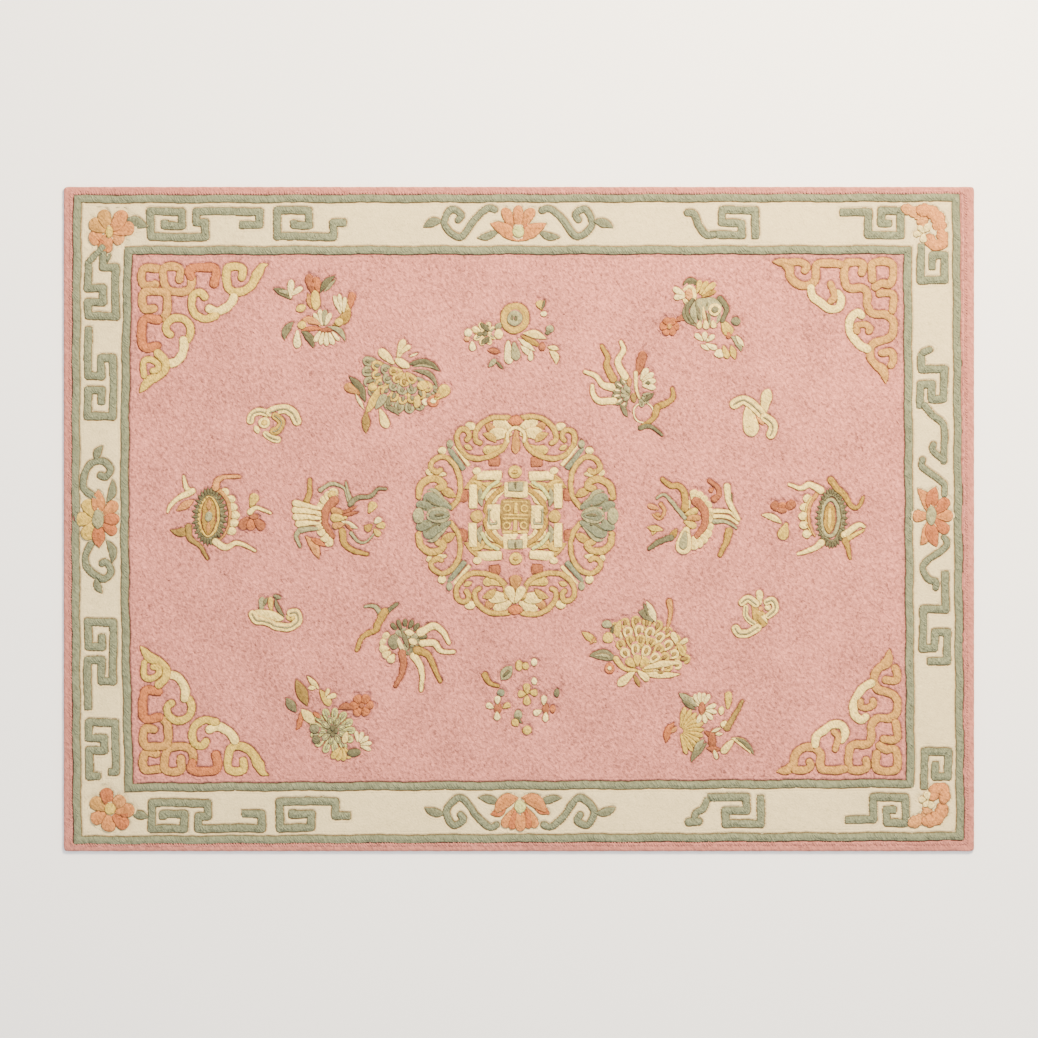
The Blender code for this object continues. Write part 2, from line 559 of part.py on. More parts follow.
def rug_mesh(strokes):
    """The carved face, the wall round it and the flat back, as one closed mesh."""
    points, edges = plan_points(strokes)
    flat, _, faces, _, _, _ = delaunay_2d_cdt(points, edges, [], 0, MERGE_GAP)
    spots = np.array([tuple(p) for p in flat])
    heights = heights_at(spots, strokes)
    corner = np.maximum(np.abs(spots) - [RUG_LENGTH / 2, RUG_WIDTH / 2] + EDGE_ROUND, 0)
    roll = np.clip(np.hypot(*corner.T) / EDGE_ROUND, 0, 1)
    heights = heights + (EDGE_HEIGHT - PILE_TOP) * roll
    faces = [tuple(face) for face in faces]
    used = {(a, b) for face in faces for a, b in zip(face, face[1:] + face[:1])}
    rim = {a: b for a, b in used if (b, a) not in used}
    walk = [next(iter(rim))]
    while rim[walk[-1]] != walk[0]:
        walk.append(rim[walk[-1]])
    vertices = [(x, y, z) for (x, y), z in zip(spots, heights)]
    below = len(vertices)
    vertices += [(spots[i][0], spots[i][1], 0) for i in walk]
    count = len(walk)
    for i in range(count):
        after = (i + 1) % count
        faces.append((walk[after], walk[i], below + i, below + after))
    faces.append(tuple(below + count - 1 - i for i in range(count)))
    mesh = bpy.data.meshes.new("rug")
    mesh.from_pydata(vertices, [], faces)
    mesh.validate()
    return mesh


def wool_material():
    wool = bpy.data.materials.new("rose wool")
    wool.use_nodes = True
    shader = wool.node_tree.nodes["Principled BSDF"]
    shader.inputs["Base Color"].default_value = (0.72, 0.40, 0.33, 1)
    shader.inputs["Roughness"].default_value = 0.95
    return wool


for thing in list(bpy.data.objects):
    bpy.data.objects.remove(thing)

figures = border_strokes() + corner_strokes() + medallion_strokes() + spray_strokes()
rug = bpy.data.objects.new("rug", rug_mesh([in_metres(figure) for figure in figures]))
rug.data.materials.append(wool_material())
bpy.context.scene.collection.objects.link(rug)
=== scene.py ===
import math
from collections import namedtuple
from functools import partial

import bmesh
import bpy
import numpy as np
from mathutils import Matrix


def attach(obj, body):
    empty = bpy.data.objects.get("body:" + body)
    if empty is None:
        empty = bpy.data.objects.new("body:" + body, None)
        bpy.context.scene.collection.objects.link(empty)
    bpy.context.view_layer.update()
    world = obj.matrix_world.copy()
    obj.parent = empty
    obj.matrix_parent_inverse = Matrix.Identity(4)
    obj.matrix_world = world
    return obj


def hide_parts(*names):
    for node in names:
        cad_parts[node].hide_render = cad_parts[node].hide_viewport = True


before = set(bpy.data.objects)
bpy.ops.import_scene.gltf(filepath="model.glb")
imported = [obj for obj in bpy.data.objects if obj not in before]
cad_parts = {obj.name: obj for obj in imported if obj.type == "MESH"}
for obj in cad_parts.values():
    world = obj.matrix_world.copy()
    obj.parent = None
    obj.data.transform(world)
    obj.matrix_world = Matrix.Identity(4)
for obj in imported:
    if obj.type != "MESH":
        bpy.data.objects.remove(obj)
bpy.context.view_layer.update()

# The pattern is drawn on a chart of squares, x right and y down from the rug's centre.
rug = {
    "length": 3.350,
    "width": 2.445,
    "chartSquares": 911,
    "pileTop": 0.0150,
    "backingTop": 0.0026,
    "cornerRadius": 0.012,
    "groundCell": 0.0082,   # spacing of the points in the plain pile
    "groundSwell": 0.0005,  # soft unevenness of the shearing
}
square = rug["length"] / rug["chartSquares"]

# Dyes as sRGB, 0 to 255, deeper than the lit wool looks
yarns = {
    "cream": (220, 196, 118),
    "ivory": (224, 206, 140),
    "straw": (190, 162, 76),
    "gold": (154, 122, 54),
    "ochre": (136, 110, 56),
    "wheat": (172, 141, 66),
    "pear": (180, 180, 112),
    "honey": (176, 131, 70),
    "apricot": (184, 122, 72),
    "amber": (170, 122, 66),
    "peach": (186, 130, 78),
    "salmon": (168, 100, 62),
    "rust": (144, 86, 58),
    "sage": (114, 118, 93),
    "mist": (140, 136, 100),
    "stone": (110, 106, 78),
    "moss": (94, 91, 66),
}

carving = {
    "rimDrop": 0.0028,       # edge of a figure below the plain pile
    "floorDrop": 0.0042,     # bottom of the carved groove
    "floorReach": 0.0016,    # the groove's parts, outward from the figure's edge
    "lipReach": 0.0042,      # where the plain pile stands full again
    "collarReach": 0.0112,
    "tuckReach": 0.0140,
    "lipRise": 0.0005,
    "tuckDrop": 0.0018,      # the collar's far edge lies under the plain pile
    "shoulderReach": 0.0014,  # the figure's own rounding, inward from its edge
    "domeReach": 0.0038,
    "crownRise": 0.0023,
    "fullHalf": 0.011,       # half width from which a figure has its full crown
    "veinCut": 0.0008,
    "hidden": 0.0060,        # how far a covered part is sunk
    "letDown": 0.0050,       # how far the plain pile goes down under a figure
    "letMargin": 0.0004,
    "step": 0.0056,          # spacing along a curved figure
    "straightStep": 0.0120,
    "cell": 0.0020,          # of the map of gaps between figures
    "overlap": 0.0008,       # how far inside a figure's edge it hides the ones below
    "weld": 0.00002,
}

# Every figure is a run of cross-sections: spots along its middle, and which way its two edges lie
Stroke = namedtuple("Stroke", "spots left right half closed yarn vein", defaults=(0.0,))
# The short figures are charted as start, end, width, yarn, and how far they bow to the side
Lobe = namedtuple("Lobe", "shape x y toX toY width yarn bow", defaults=(0,))
leaf, petal, oval, block = [partial(Lobe, shape) for shape in ("leaf", "petal", "oval", "block")]


def linear(colour):
    scaled = [c / 255 for c in colour]
    return [c / 12.92 if c < 0.04045 else ((c + 0.055) / 1.055) ** 2.4 for c in scaled]


def onRug(x, y):
    return np.array([x * square, -y * square])


def leftOf(way):
    return np.array([-way[1], way[0]])


def unit(v):
    return v / max(np.hypot(*v), 1e-9)


def roundEnd(t):
    return math.sqrt(max(0.0, 1 - t * t))


# Width along a lobe, from its root at 0 to its tip at 1
lobeShapes = {
    "leaf": lambda t: math.sin(math.pi * t) ** 0.8,
    "petal": lambda t: 0.4 + 0.6 * math.sin(math.pi * t / 1.4) if t < 0.7 else roundEnd((t - 0.7) / 0.3),
    "oval": lambda t: roundEnd(2 * t - 1),
    "block": lambda t: 1.0,
}
veins = {"leaf": 0.40, "petal": 0.30}  # how deep the cut along the middle is, and how much painted shade lies in it

tips = {
    "turns": {"round": (0, 30, 60), "blunt": (0, 42, 48)},  # degrees round an end, from straight ahead
    "bluntReach": 1.28,   # corners of a blunt end, in half widths
    "room": 0.9,          # share of the last step that an end may be drawn in by
    "shortRoom": 0.48,    # the same in a figure of one step
    "leastTurn": 0.4,     # below this the line doubles back on itself
    "leastMitre": 0.7,
    "ruffle": (0.86, 0.26),
    "flameAt": (0, 0.25, 0.6, 1),  # back from the point, in lengths of the flame
    "flameWidth": (0.15, 0.85, 1.3, 1),
}
frets = {"rounding": 0.8, "clear": 1.05, "mitre45": 0.707}  # in half widths of the line


# The left and right edges round the end of a stroke
def endTurns(side, out, end):
    turns = []
    for turn in tips["turns"][end]:
        a = math.radians(turn)
        grow = tips["bluntReach"] if end == "blunt" and turn else 1.0
        aside, ahead = side * math.sin(a), out * math.cos(a)
        turns.append((grow * (aside + ahead), grow * (ahead - aside)))
    return turns


# Middle line and half widths to a stroke with closed ends
def capped(spots, halves, yarn, end="round"):
    spots, halves = [np.array(s) for s in spots], list(halves)
    ways = (spots[1] - spots[0], spots[-2] - spots[-1])
    room = tips["shortRoom"] if len(spots) == 2 else tips["room"]
    for tip, way in zip((0, -1), ways):  # a wide end is drawn in by its own half width
        spots[tip] = spots[tip] + unit(way) * min(halves[tip], room * np.hypot(*way))
    rows = []
    last = len(spots) - 1
    for i, (spot, half) in enumerate(zip(spots, halves)):
        come = unit(spot - spots[i - 1]) if i else unit(spots[1] - spot)
        go = unit(spots[i + 1] - spot) if i < last else come
        middle = unit(come + go) if np.hypot(*(come + go)) > tips["leastTurn"] else go
        side = leftOf(middle) / max(tips["leastMitre"], float(middle @ go))
        rows.append((spot, side, -side, half))
        if i in (0, last):
            turns = [(spot, *edges, half) for edges in endTurns(side, middle if i else -middle, end)]
            rows = turns + rows if i == 0 else rows + turns[::-1]
    return Stroke(*[np.array(column) for column in zip(*rows)], False, yarn)


# A Catmull-Rom curve through the points, with its width eased from end to end
def smoothLine(points, widths, spacing):
    points = [np.array(p) for p in points]
    ends = [2 * points[0] - points[1]] + points + [2 * points[-1] - points[-2]]
    spots, halves = [], []
    spans = len(points) - 1
    for i in range(spans):
        a, b, c, d = ends[i:i + 4]
        steps = max(2, round(np.hypot(*(c - b)) / spacing))
        for k in range(steps + (i == spans - 1)):
            t = k / steps
            spots.append(0.5 * (2 * b + (c - a) * t + (2 * a - 5 * b + 4 * c - d) * t * t
                                + (3 * b - a - 3 * c + d) * t ** 3))
            share = (i + t) / spans
            halves.append(0.5 * (widths[0] + (widths[1] - widths[0]) * share))
    return spots, halves


def vine(home, points, width, yarn, flip=(1, 1), tip=None, flame=0, ruffle=0):
    placed = [onRug(home[0] + flip[0] * x, home[1] + flip[1] * y) for x, y in points]
    ends = (width * square, (width if tip is None else tip) * square)
    spots, halves = smoothLine(placed, ends, carving["step"])
    gone = np.concatenate([[0], np.cumsum(np.hypot(*np.diff(np.array(spots), axis=0).T))])
    if ruffle:  # a scalloped edge
        base, swing = tips["ruffle"]
        halves = np.array(halves) * (base + swing * np.abs(np.sin(math.pi * gone / (ruffle * square))))
    if flame:  # swells and comes to a point over its last stretch
        left = (gone[-1] - gone) / (flame * square)
        halves = np.array(halves) * np.interp(left, tips["flameAt"], tips["flameWidth"])
    return capped(spots, halves, yarn)


def lobe(home, row, flip=(1, 1)):
    shape, bow = row.shape, row.bow
    start = onRug(home[0] + flip[0] * row.x, home[1] + flip[1] * row.y)
    end = onRug(home[0] + flip[0] * row.toX, home[1] + flip[1] * row.toY)
    long = np.hypot(*(end - start))
    side = leftOf((end - start) / long) * flip[0] * flip[1]
    steps = 2 if shape == "block" and not bow else max(6, round(long / carving["step"]))
    spots, halves = [], []
    for i in range(steps + 1):
        t = i / steps
        if shape in ("leaf", "oval", "petal"):  # closer together at the ends, where the width turns fast
            t = 0.5 - 0.5 * math.cos(math.pi * t)
        spots.append(start + (end - start) * t + side * bow * square * math.sin(math.pi * t))
        halves.append(max(0.0, lobeShapes[shape](min(t, 1.0))) * row.width * square / 2)
    made = capped(spots, halves, row.yarn, "blunt" if shape == "block" else "round")
    return made._replace(vein=veins.get(shape, 0.0))


# A fret: straight runs, right and down counted as positive, with rounded outer corners
def key(x, y, first, runs, width, yarn="sage"):
    corners, down = [onRug(x, y)], first == "down"
    for run in runs:
        corners.append(corners[-1] + (onRug(0, run) if down else onRug(run, 0)))
        down = not down
    half, rounding = width * square / 2, frets["rounding"]
    ends = [corners[0] + unit(corners[1] - corners[0]) * half, corners[-1] + unit(corners[-2] - corners[-1]) * half]
    corners = [ends[0]] + corners[1:-1] + [ends[1]]
    rows = []
    for i in range(len(corners) - 1):
        way = unit(corners[i + 1] - corners[i])
        side = leftOf(way)
        if i == 0:
            rows += [(corners[0], *edges, half) for edges in endTurns(side, -way, "blunt")]
        long = np.hypot(*(corners[i + 1] - corners[i]))
        gap = frets["clear"] * half
        steps = max(1, round((long - 2 * gap) / carving["straightStep"]))
        if long > 2.2 * gap:  # a shorter run is all corner
            rows += [(corners[i] + way * (gap + (long - 2 * gap) * k / steps), side, -side, half)
                     for k in range(steps + 1)]
        if i == len(corners) - 2:
            rows += [(corners[-1], *edges, half) for edges in endTurns(side, way, "blunt")[::-1]]
            continue
        after = unit(corners[i + 2] - corners[i + 1])
        turn = 1 if way[0] * after[1] - way[1] * after[0] > 0 else -1
        outA, outB = -turn * side, -turn * leftOf(after)
        inner = -(outA + outB)
        halfWay = (1 - rounding + frets["mitre45"] * rounding) * (outA + outB)
        for outer in (outA + (1 - rounding) * outB, halfWay, (1 - rounding) * outA + outB):
            rows.append((corners[i + 1], inner if turn > 0 else outer, outer if turn > 0 else inner, half))
    return Stroke(*[np.array(column) for column in zip(*rows)], False, yarn)


# A closed ring or oval
def hoop(home, radiusX, radiusY, width, yarn, steps=0):
    steps = steps or max(14, round(2 * math.pi * max(radiusX, radiusY) * square / carving["step"]))
    spots = [onRug(home[0] + radiusX * math.cos(2 * math.pi * i / steps),
                   home[1] - radiusY * math.sin(2 * math.pi * i / steps)) for i in range(steps)]
    sides = np.array([leftOf(unit(spots[(i + 1) % steps] - spots[i - 1])) for i in range(steps)])
    return Stroke(np.array(spots), sides, -sides, np.full(steps, width * square / 2), True, yarn)


# The border, in squares from the rug's centre
border = {
    # corners of each guard stripe's middle line, and how far its left side bulges out half way
    "outerStripe": {"corners": ((-441.7, -320), (437.2, -321.5), (441.2, 317.5), (-441.7, 321.5)), "bulge": 1.8},
    "innerStripe": {"corners": ((-391, -268.5), (388.5, -269), (391.5, 264.5), (-390, 268.5)), "bulge": 4.0},
    "stripeWidth": 8.0,
    "stripeSteps": 200,  # points along each side
    "keyWidth": 8.0,
    "scrollWidth": 7.0,
    "endReach": 262,     # figures past this lie in the top or the low side
    # x, y, first run, runs
    "keys": (
        (-354.5, -299.5, "down", (6, 17.5, -14, -31.5, 25.5, 54.7, -14.5, -8.7, -11, 63, 13, -20)),
        (-225, -299, "down", (5.5, 15, -15, -31.5, 26, 55.5, -14, 13.5)),
        (187.5, -284, "across", (35.5, -12, -20, -13, 33.5, 29)),
        (320.5, -306.5, "across", (29, 22.5, 32.5, -24.5, -19.5, 12.5, 11)),
        (-356.5, 300.5, "down", (-5, 21.5, 14.5, -32.5, -26, 56, 13, -9.5, 12.5, 63.5, -14.5, -20)),
        (-227.5, 298.5, "down", (-3, 19.5, 13.5, -31.5, -26.5, 55.5, 14, 15.5)),
        (241.5, 275.5, "down", (29.5, -35, -13, 21, -13.5, -39)),
        (325.5, 300.5, "across", (29, -22, 32, 25.5, -19, -13, 10)),
        (-431, -258.5, "down", (28, 15.2, 14, -15.2, 13.7, 27.5, -48.7, -13, -17)),
        (-430.9, -192.5, "down", (49.5, 13, -18.5, 11.9, 59, -25.3, -26, 13.4, 15)),
        (-417.5, 114.5, "down", (13.5, -13.5, -25, 25, 59.5, -11.3, -21, -14.1, 50)),
        (-411.5, 252.5, "across", (8, -49, -26.6, 15.5, 15.6, 12.2, -15.6, 26.3, 12)),
        (402, -275.5, "down", (36.5, 24, -24.5, -12.5, 15)),
        (402, -166.5, "down", (17, 23, 30, -12, -15, -11.5, 24)),
        (426.5, 52.5, "down", (38, -22.5, 39, 12, -16, 12.5, 29, -20.5)),
        (405.5, 270.5, "down", (-37.5, 23.8, 25, -12.8, -15)),
    ),
    # free lines, from the rug's centre: points, width, yarn
    "lines": (
        (((167, -307), (175, -305), (180, -294), (187.5, -284), (196, -284)), 7.4, "sage"),
        (((188.5, 280), (184.5, 289), (177, 294), (175, 302)), 7.2, "sage"), (((168, 303), (181, 302)), 8, "sage"),
        (((-431, -257), (-421.7, -266), (-416, -273)), 6.5, "sage"), (((403, -166), (412, -169)), 7, "sage"),
        (((405.5, -115), (412.5, -105), (424.5, -91.5), (425, -56)), 7.2, "sage"),
        (((426.5, -57.5), (414.5, -67.5), (414.5, -75.5)), 6.5, "sage"),
        (((404, -60.5), (403.5, -52.5), (412.5, -44.5), (424.5, -34.5), (425, -22.5)), 6.8, "sage"),
        (((425, 17.5), (427, 27.5), (407.5, 41.5), (403.5, 49.5), (410, 60.5), (417, 63), (417.3, 70)), 6.8, "sage"),
    ),
}


# A point of the quadrilateral that a guard stripe's middle line bounds: u right, v down, 0 to 1
def stripeLine(name, u, v):
    (ax, ay), (bx, by), (cx, cy), (dx, dy) = border[name]["corners"]
    top = np.array([ax + (bx - ax) * u, ay + (by - ay) * u])
    low = np.array([dx + (cx - dx) * u, dy + (cy - dy) * u])
    spot = top + (low - top) * v
    spot[0] -= border[name]["bulge"] * math.sin(math.pi * v) * (1 - u)
    return onRug(*spot)


def guardStripe(name):
    steps = border["stripeSteps"]
    sides = (lambda t: (t, 0), lambda t: (1, t), lambda t: (1 - t, 1), lambda t: (0, 1 - t))
    spots = [stripeLine(name, *side(i / steps)) for side in sides for i in range(steps)]
    count = len(spots)
    rows = []
    for i, spot in enumerate(spots):
        come, go = unit(spot - spots[i - 1]), unit(spots[(i + 1) % count] - spot)
        middle = unit(come + go)
        rows.append(leftOf(middle) / max(tips["leastMitre"], float(middle @ go)))
    rows = np.array(rows)
    return Stroke(np.array(spots), rows, -rows, np.full(count, border["stripeWidth"] * square / 2), True, "sage")


# Scrolls, from the home of the figure that they belong to
scrolls = {
    "centre": ((-22, -12), (-31, -14), (-44, -3), (-57, 13.5), (-67, 11), (-74, 0), (-67, -13), (-57, -8),
               (-61, -1.5)),
    "left": ((-1, -20), (-13, -29), (-13, -42), (-8, -53), (4, -57), (13, -50), (9, -42), (2, -43)),
    "leftLow": ((-6, 25), (-12, 39), (-10.5, 50), (-2, 58), (6.5, 61), (13, 54), (9, 45), (3, 46)),
}
scrollHomes = {"top": (-0.5, -296.5), "low": (1, 293.5), "left": (-421.5, -1)}
scrollLeaves = {
    "centre": (leaf(75, -1, 95, 5, 9, "sage", 2), leaf(20, 8, 42, 15, 8, "sage", -2)),
    "left": (
        leaf(-2, -57, 4.7, -72, 8, "sage", 2), leaf(-2, 60, 4.7, 75, 8, "sage", -2),
        leaf(9, -16, 15, -39, 8, "sage", -3), leaf(9, 23, 14, 45, 8, "sage", 4),
    ),
    "top corner rose": (leaf(15, -11, 38, -3, 12, "sage", 1), leaf(-2, 18, -4, 34, 8, "sage")),
    "low corner rose": (leaf(20, 2, 38, 7, 9, "sage"),),
}

flowers = {
    "top lotus": {
        "home": (-0.5, -291.5),
        "petals": (
            petal(-8, 4, -15, -19, 10, "apricot", -2), petal(5, 1, 16, -19, 11, "apricot", 2),
            petal(0, 3, 0, -22, 11, "apricot"), petal(4, 4, 11, -3, 7, "salmon"),
            leaf(-28, -4, 0, 14, 14, "apricot", 2), leaf(28, -4, 0, 14, 14, "apricot", -2),
        ),
        "heart": (0, 4, 6.3, 6.3, "pear"),
    },
    "low lotus": {
        "home": (1, 289),
        "petals": (
            leaf(-14, 0, -30, 6, 9, "salmon", 1), leaf(14, 0, 30, 6, 9, "salmon", 1),
            leaf(-1, -9, -25, 5, 14, "apricot", -5), leaf(1, -9, 26, 5, 14, "apricot", 5),
            petal(-4, 0, -17, 19, 11, "apricot"), petal(4, 0, 16, 20, 11, "apricot"),
            petal(-2, 0, -9, 22, 10, "salmon"), petal(3, 0, 9, 21, 9, "salmon"), petal(0, 0, 0, 24, 11, "apricot"),
        ),
        "heart": (0, -1, 6, 6.5, "pear"),
    },
    "left daisy": {
        "home": (-421.5, -1.5),
        "petals": (
            petal(-4, 2, -22, 2, 15, "straw"), petal(-3, 4, -13, 22, 14, "straw"),
            petal(-3, 0, -13, -17, 14, "straw"), petal(3, 4, 19, 16, 12, "salmon"),
            petal(3, 0, 19, -16, 12, "apricot"), petal(3, 2, 22, 1, 12, "salmon"), leaf(0, -2, 1, -28, 14, "apricot"),
            leaf(0, 6, 2, 31, 14, "salmon"),
        ),
        "heart": (0, 2, 6.2, 10, "mist"),
    },
    "right daisy": {
        "home": (412.5, -3),
        "petals": (
            leaf(-3, -2, -14, -27, 11, "apricot", -3), leaf(-3, 4, -11, 29, 11, "apricot", 3),
            petal(-3, 0, -19, 0, 12, "apricot"), petal(3, 0, 22, 0, 12, "apricot"),
            petal(3, -2, 17, -17, 12, "salmon"), petal(3, 4, 17, 17, 12, "salmon"),
            leaf(0, -3, 4, -29, 13, "salmon", 2), leaf(0, 4, 5, 31, 13, "salmon", -2),
        ),
        "heart": (0, 0, 5.4, 9.7, "mist"),
    },
    "top corner rose": {
        "home": (-409.5, -288.5),
        "petals": (
            petal(-2, 3, -20, 10, 15, "apricot"), petal(-2, 0, -20, -9, 14, "honey"),
            petal(3, 3, 13, 12, 13, "peach"), petal(-1, 3, -6, 22, 15, "apricot"), petal(0, -1, -8, -21, 14, "honey"),
            petal(2, 0, 25, -3, 15, "apricot"), petal(1, -1, 13, -21, 15, "apricot", -3),
            leaf(-12, 9, -5, 17, 4, "salmon", 2),
        ),
        "heart": (0, 1, 4.2, 6, "straw"),
    },
    "low corner rose": {
        "home": (-408.8, 291),
        "petals": (
            petal(-2, 2, -19, 12, 14, "apricot"), petal(-2, -1, -20, -9, 14, "honey"),
            petal(0, 3, -3, 22, 14, "apricot"), petal(2, 2, 16, 18, 14, "salmon"),
            petal(0, -1, -5, -22, 13, "salmon"), petal(3, 0, 24, 0, 14, "apricot"),
            petal(2, -1, 14, -14, 13, "peach"), leaf(9, 4, 20, 3, 4, "salmon", -2),
        ),
        "heart": (0, -1, 6, 6, "straw"),
    },
}

# half clouds with a small blossom, in the right corners
cloud = {
    # points, width, yarn, length of a ruffle
    "puffs": (
        (((-11, -21), (-3, -18), (5, -13), (8, -5)), 11, "peach", 7),
        (((5, -19), (15, -17), (22, -11), (24, -3)), 13, "apricot", 8),
        (((25, 3), (27, 11), (23, 17), (15, 15), (14, 9)), 11, "apricot", 8),
    ),
    "blossom": (
        petal(8, 3, 14, -4, 8, "ivory"), petal(7, 4, -2, 6, 7, "ivory"), petal(8, 5, 7, 14, 8, "ivory"),
        petal(8, 4, 3, -3, 6, "ivory"),
    ),
}
# home of each cloud, and how far it is stretched or flipped
cloudHomes = {"top": ((396.5, -290), (1, 1)), "low": ((401.5, 285), (0.9, -0.9))}


def flower(name):
    spec = flowers[name]
    x, y, rx, ry, yarn = spec["heart"]
    return [lobe(spec["home"], row) for row in (*spec["petals"], oval(x, y - ry, x, y + ry, 2 * rx, yarn))]


# Figures of the cream border by side: top, right, low, left
def borderFigures():
    sides = {"top": [], "right": [], "low": [], "left": []}

    def sideOf(x, y):
        if abs(y) > border["endReach"]:
            return "top" if y < 0 else "low"
        return "left" if x < 0 else "right"

    for x, y, first, runs in border["keys"]:
        sides[sideOf(x, y)].append(key(x, y, first, runs, border["keyWidth"]))
    for points, width, yarn in border["lines"]:
        sides[sideOf(*points[0])].append(vine((0, 0), points, width, yarn))
    for side in (-1, 1):
        for where, up in (("top", 1), ("low", -1)):
            home, flip = scrollHomes[where], (side, up)
            sides[where].append(vine(home, scrolls["centre"], border["scrollWidth"], "sage", flip))
            sides[where] += [lobe(home, row, flip) for row in scrollLeaves["centre"]]
    home = scrollHomes["left"]
    sides["left"] += [vine(home, scrolls[name], border["scrollWidth"], "sage") for name in ("left", "leftLow")]
    sides["left"] += [lobe(home, row) for row in scrollLeaves["left"]]
    for where in ("top", "low"):
        name = where + " corner rose"
        sides[where] += [lobe(flowers[name]["home"], row) for row in scrollLeaves[name]]
    for name, where in (("top lotus", "top"), ("low lotus", "low"), ("left daisy", "left"), ("right daisy", "right"),
                        ("top corner rose", "top"), ("low corner rose", "low")):
        sides[where] += flower(name)
    for where, (home, flip) in cloudHomes.items():
        sides[where] += [vine(home, *row[:3], flip, ruffle=row[3]) for row in cloud["puffs"]]
        sides[where] += [lobe(home, row, flip) for row in cloud["blossom"]]
    return sides


# Cloud-scroll corners of the field: points from the field's own corner, width, yarn, and the length of a flame
cornersLeft = {
    "gold key": (((28, 13.5), (12, 13.5), (12, 29), (25, 29)), 8.5, "honey"),
    "tan spiral": (((48, 26), (48, 13), (33, 13), (33, 29), (39, 36), (54, 36), (60, 29), (60, 20)), 8.5, "honey"),
    "orange arch": (((60, 22), (60, 13), (83, 13), (83, 29)), 9, "salmon"),
    "pale hook": (((110, 24), (110, 13), (96, 13), (96, 29), (102, 36.5), (112, 36), (120, 30), (125, 20), (130, 11),
                   (136, 8)), 8.5, "straw", 26),
    "cream tongue": (((103, 41), (101, 46), (95, 52), (85, 56), (76, 52.5)), 9, "cream"),
    "pale curl": (((85, 60), (73, 63), (63, 58), (59.5, 48), (62, 39), (69, 37), (74, 42)), 8, "straw"),
    "left spiral": (((23, 53), (12, 53), (12, 37), (31, 37), (35, 42), (35, 57), (31, 64)), 8.5, "honey"),
    "orange bracket": (((28, 65), (12, 65), (12, 91), (27, 91)), 9, "salmon"),
    "pale ring": (((40.5, 80), (35.5, 76), (35.5, 69), (41, 63.5), (49, 62.5), (56.5, 67), (59.5, 75), (56.5, 85)),
                  8, "straw"),
    "low cream tongue": (((52, 83), (52.5, 91), (50, 99), (44, 106), (37, 108)), 9, "cream"),
    "tail": (((25, 97), (33, 106), (33, 114), (26, 121), (17, 126), (8, 137)), 8.5, "straw", 24),
    "tail curl": (((12, 122), (11.5, 107), (19, 104.5), (26, 109), (25, 115), (19, 116)), 6.5, "straw"),
}
cornersRight = {
    "corner key": (((-31, 27), (-31, 10), (-12, 10), (-12, 29), (-22, 30), (-29, 34)), 8.5, "honey"),
    "main line": (((-42, 20), (-42, 10), (-58, 10), (-58, 29), (-52, 34), (-41, 34), (-36, 39), (-36, 52), (-31, 60),
                   (-18, 61), (-11, 67), (-11, 79), (-17, 85), (-29, 89), (-33, 96), (-32, 105), (-27, 111),
                   (-20, 117), (-18, 130)), 8.5, "honey", 24),
    "edge hook": (((-23, 99), (-12, 98), (-10, 106), (-13, 112)), 8, "honey"),
    "bracket": (((-25, 40), (-11, 40), (-10, 49), (-12, 58)), 8, "honey"),
    "top line": (((-62, 10), (-73, 9), (-85, 10), (-87.5, 15), (-87.5, 25), (-93, 31), (-100, 32), (-108, 29),
                  (-113, 22), (-114, 14), (-119, 9), (-131, 7)), 8.5, "honey", 24),
    "top hook": (((-114, 9), (-103, 8.5), (-96.5, 13), (-99, 18)), 8, "honey"),
    "cream curl": (((-93, 33), (-91, 43), (-83, 49), (-74, 55), (-65, 53), (-62, 45), (-66, 38)), 8.5, "cream"),
    "inner tan": (((-73, 29), (-70, 37), (-69, 43), (-74, 48)), 7, "honey"),
    "low cream curl": (((-34, 96), (-43, 92), (-50, 84), (-54.5, 74), (-53, 64), (-46, 58.5),
                        (-41, 63)), 8.5, "cream"),
    "low inner tan": (((-47, 79), (-47, 72), (-39, 71), (-34, 75), (-36, 79)), 7, "honey"),
}


def cornerFigures():
    made = {}
    places = (
        ("corner_top_left", cornersLeft, (-387.5, -263.5), 1), ("corner_low_left", cornersLeft, (-386.5, 264), -1),
        ("corner_top_right", cornersRight, (384.5, -265), 1), ("corner_low_right", cornersRight, (388.5, 260), -1),
    )
    for name, rows, home, up in places:
        made[name] = [vine(home, *row[:3], (1, up), flame=row[3] if len(row) > 3 else 0) for row in rows.values()]
    return made


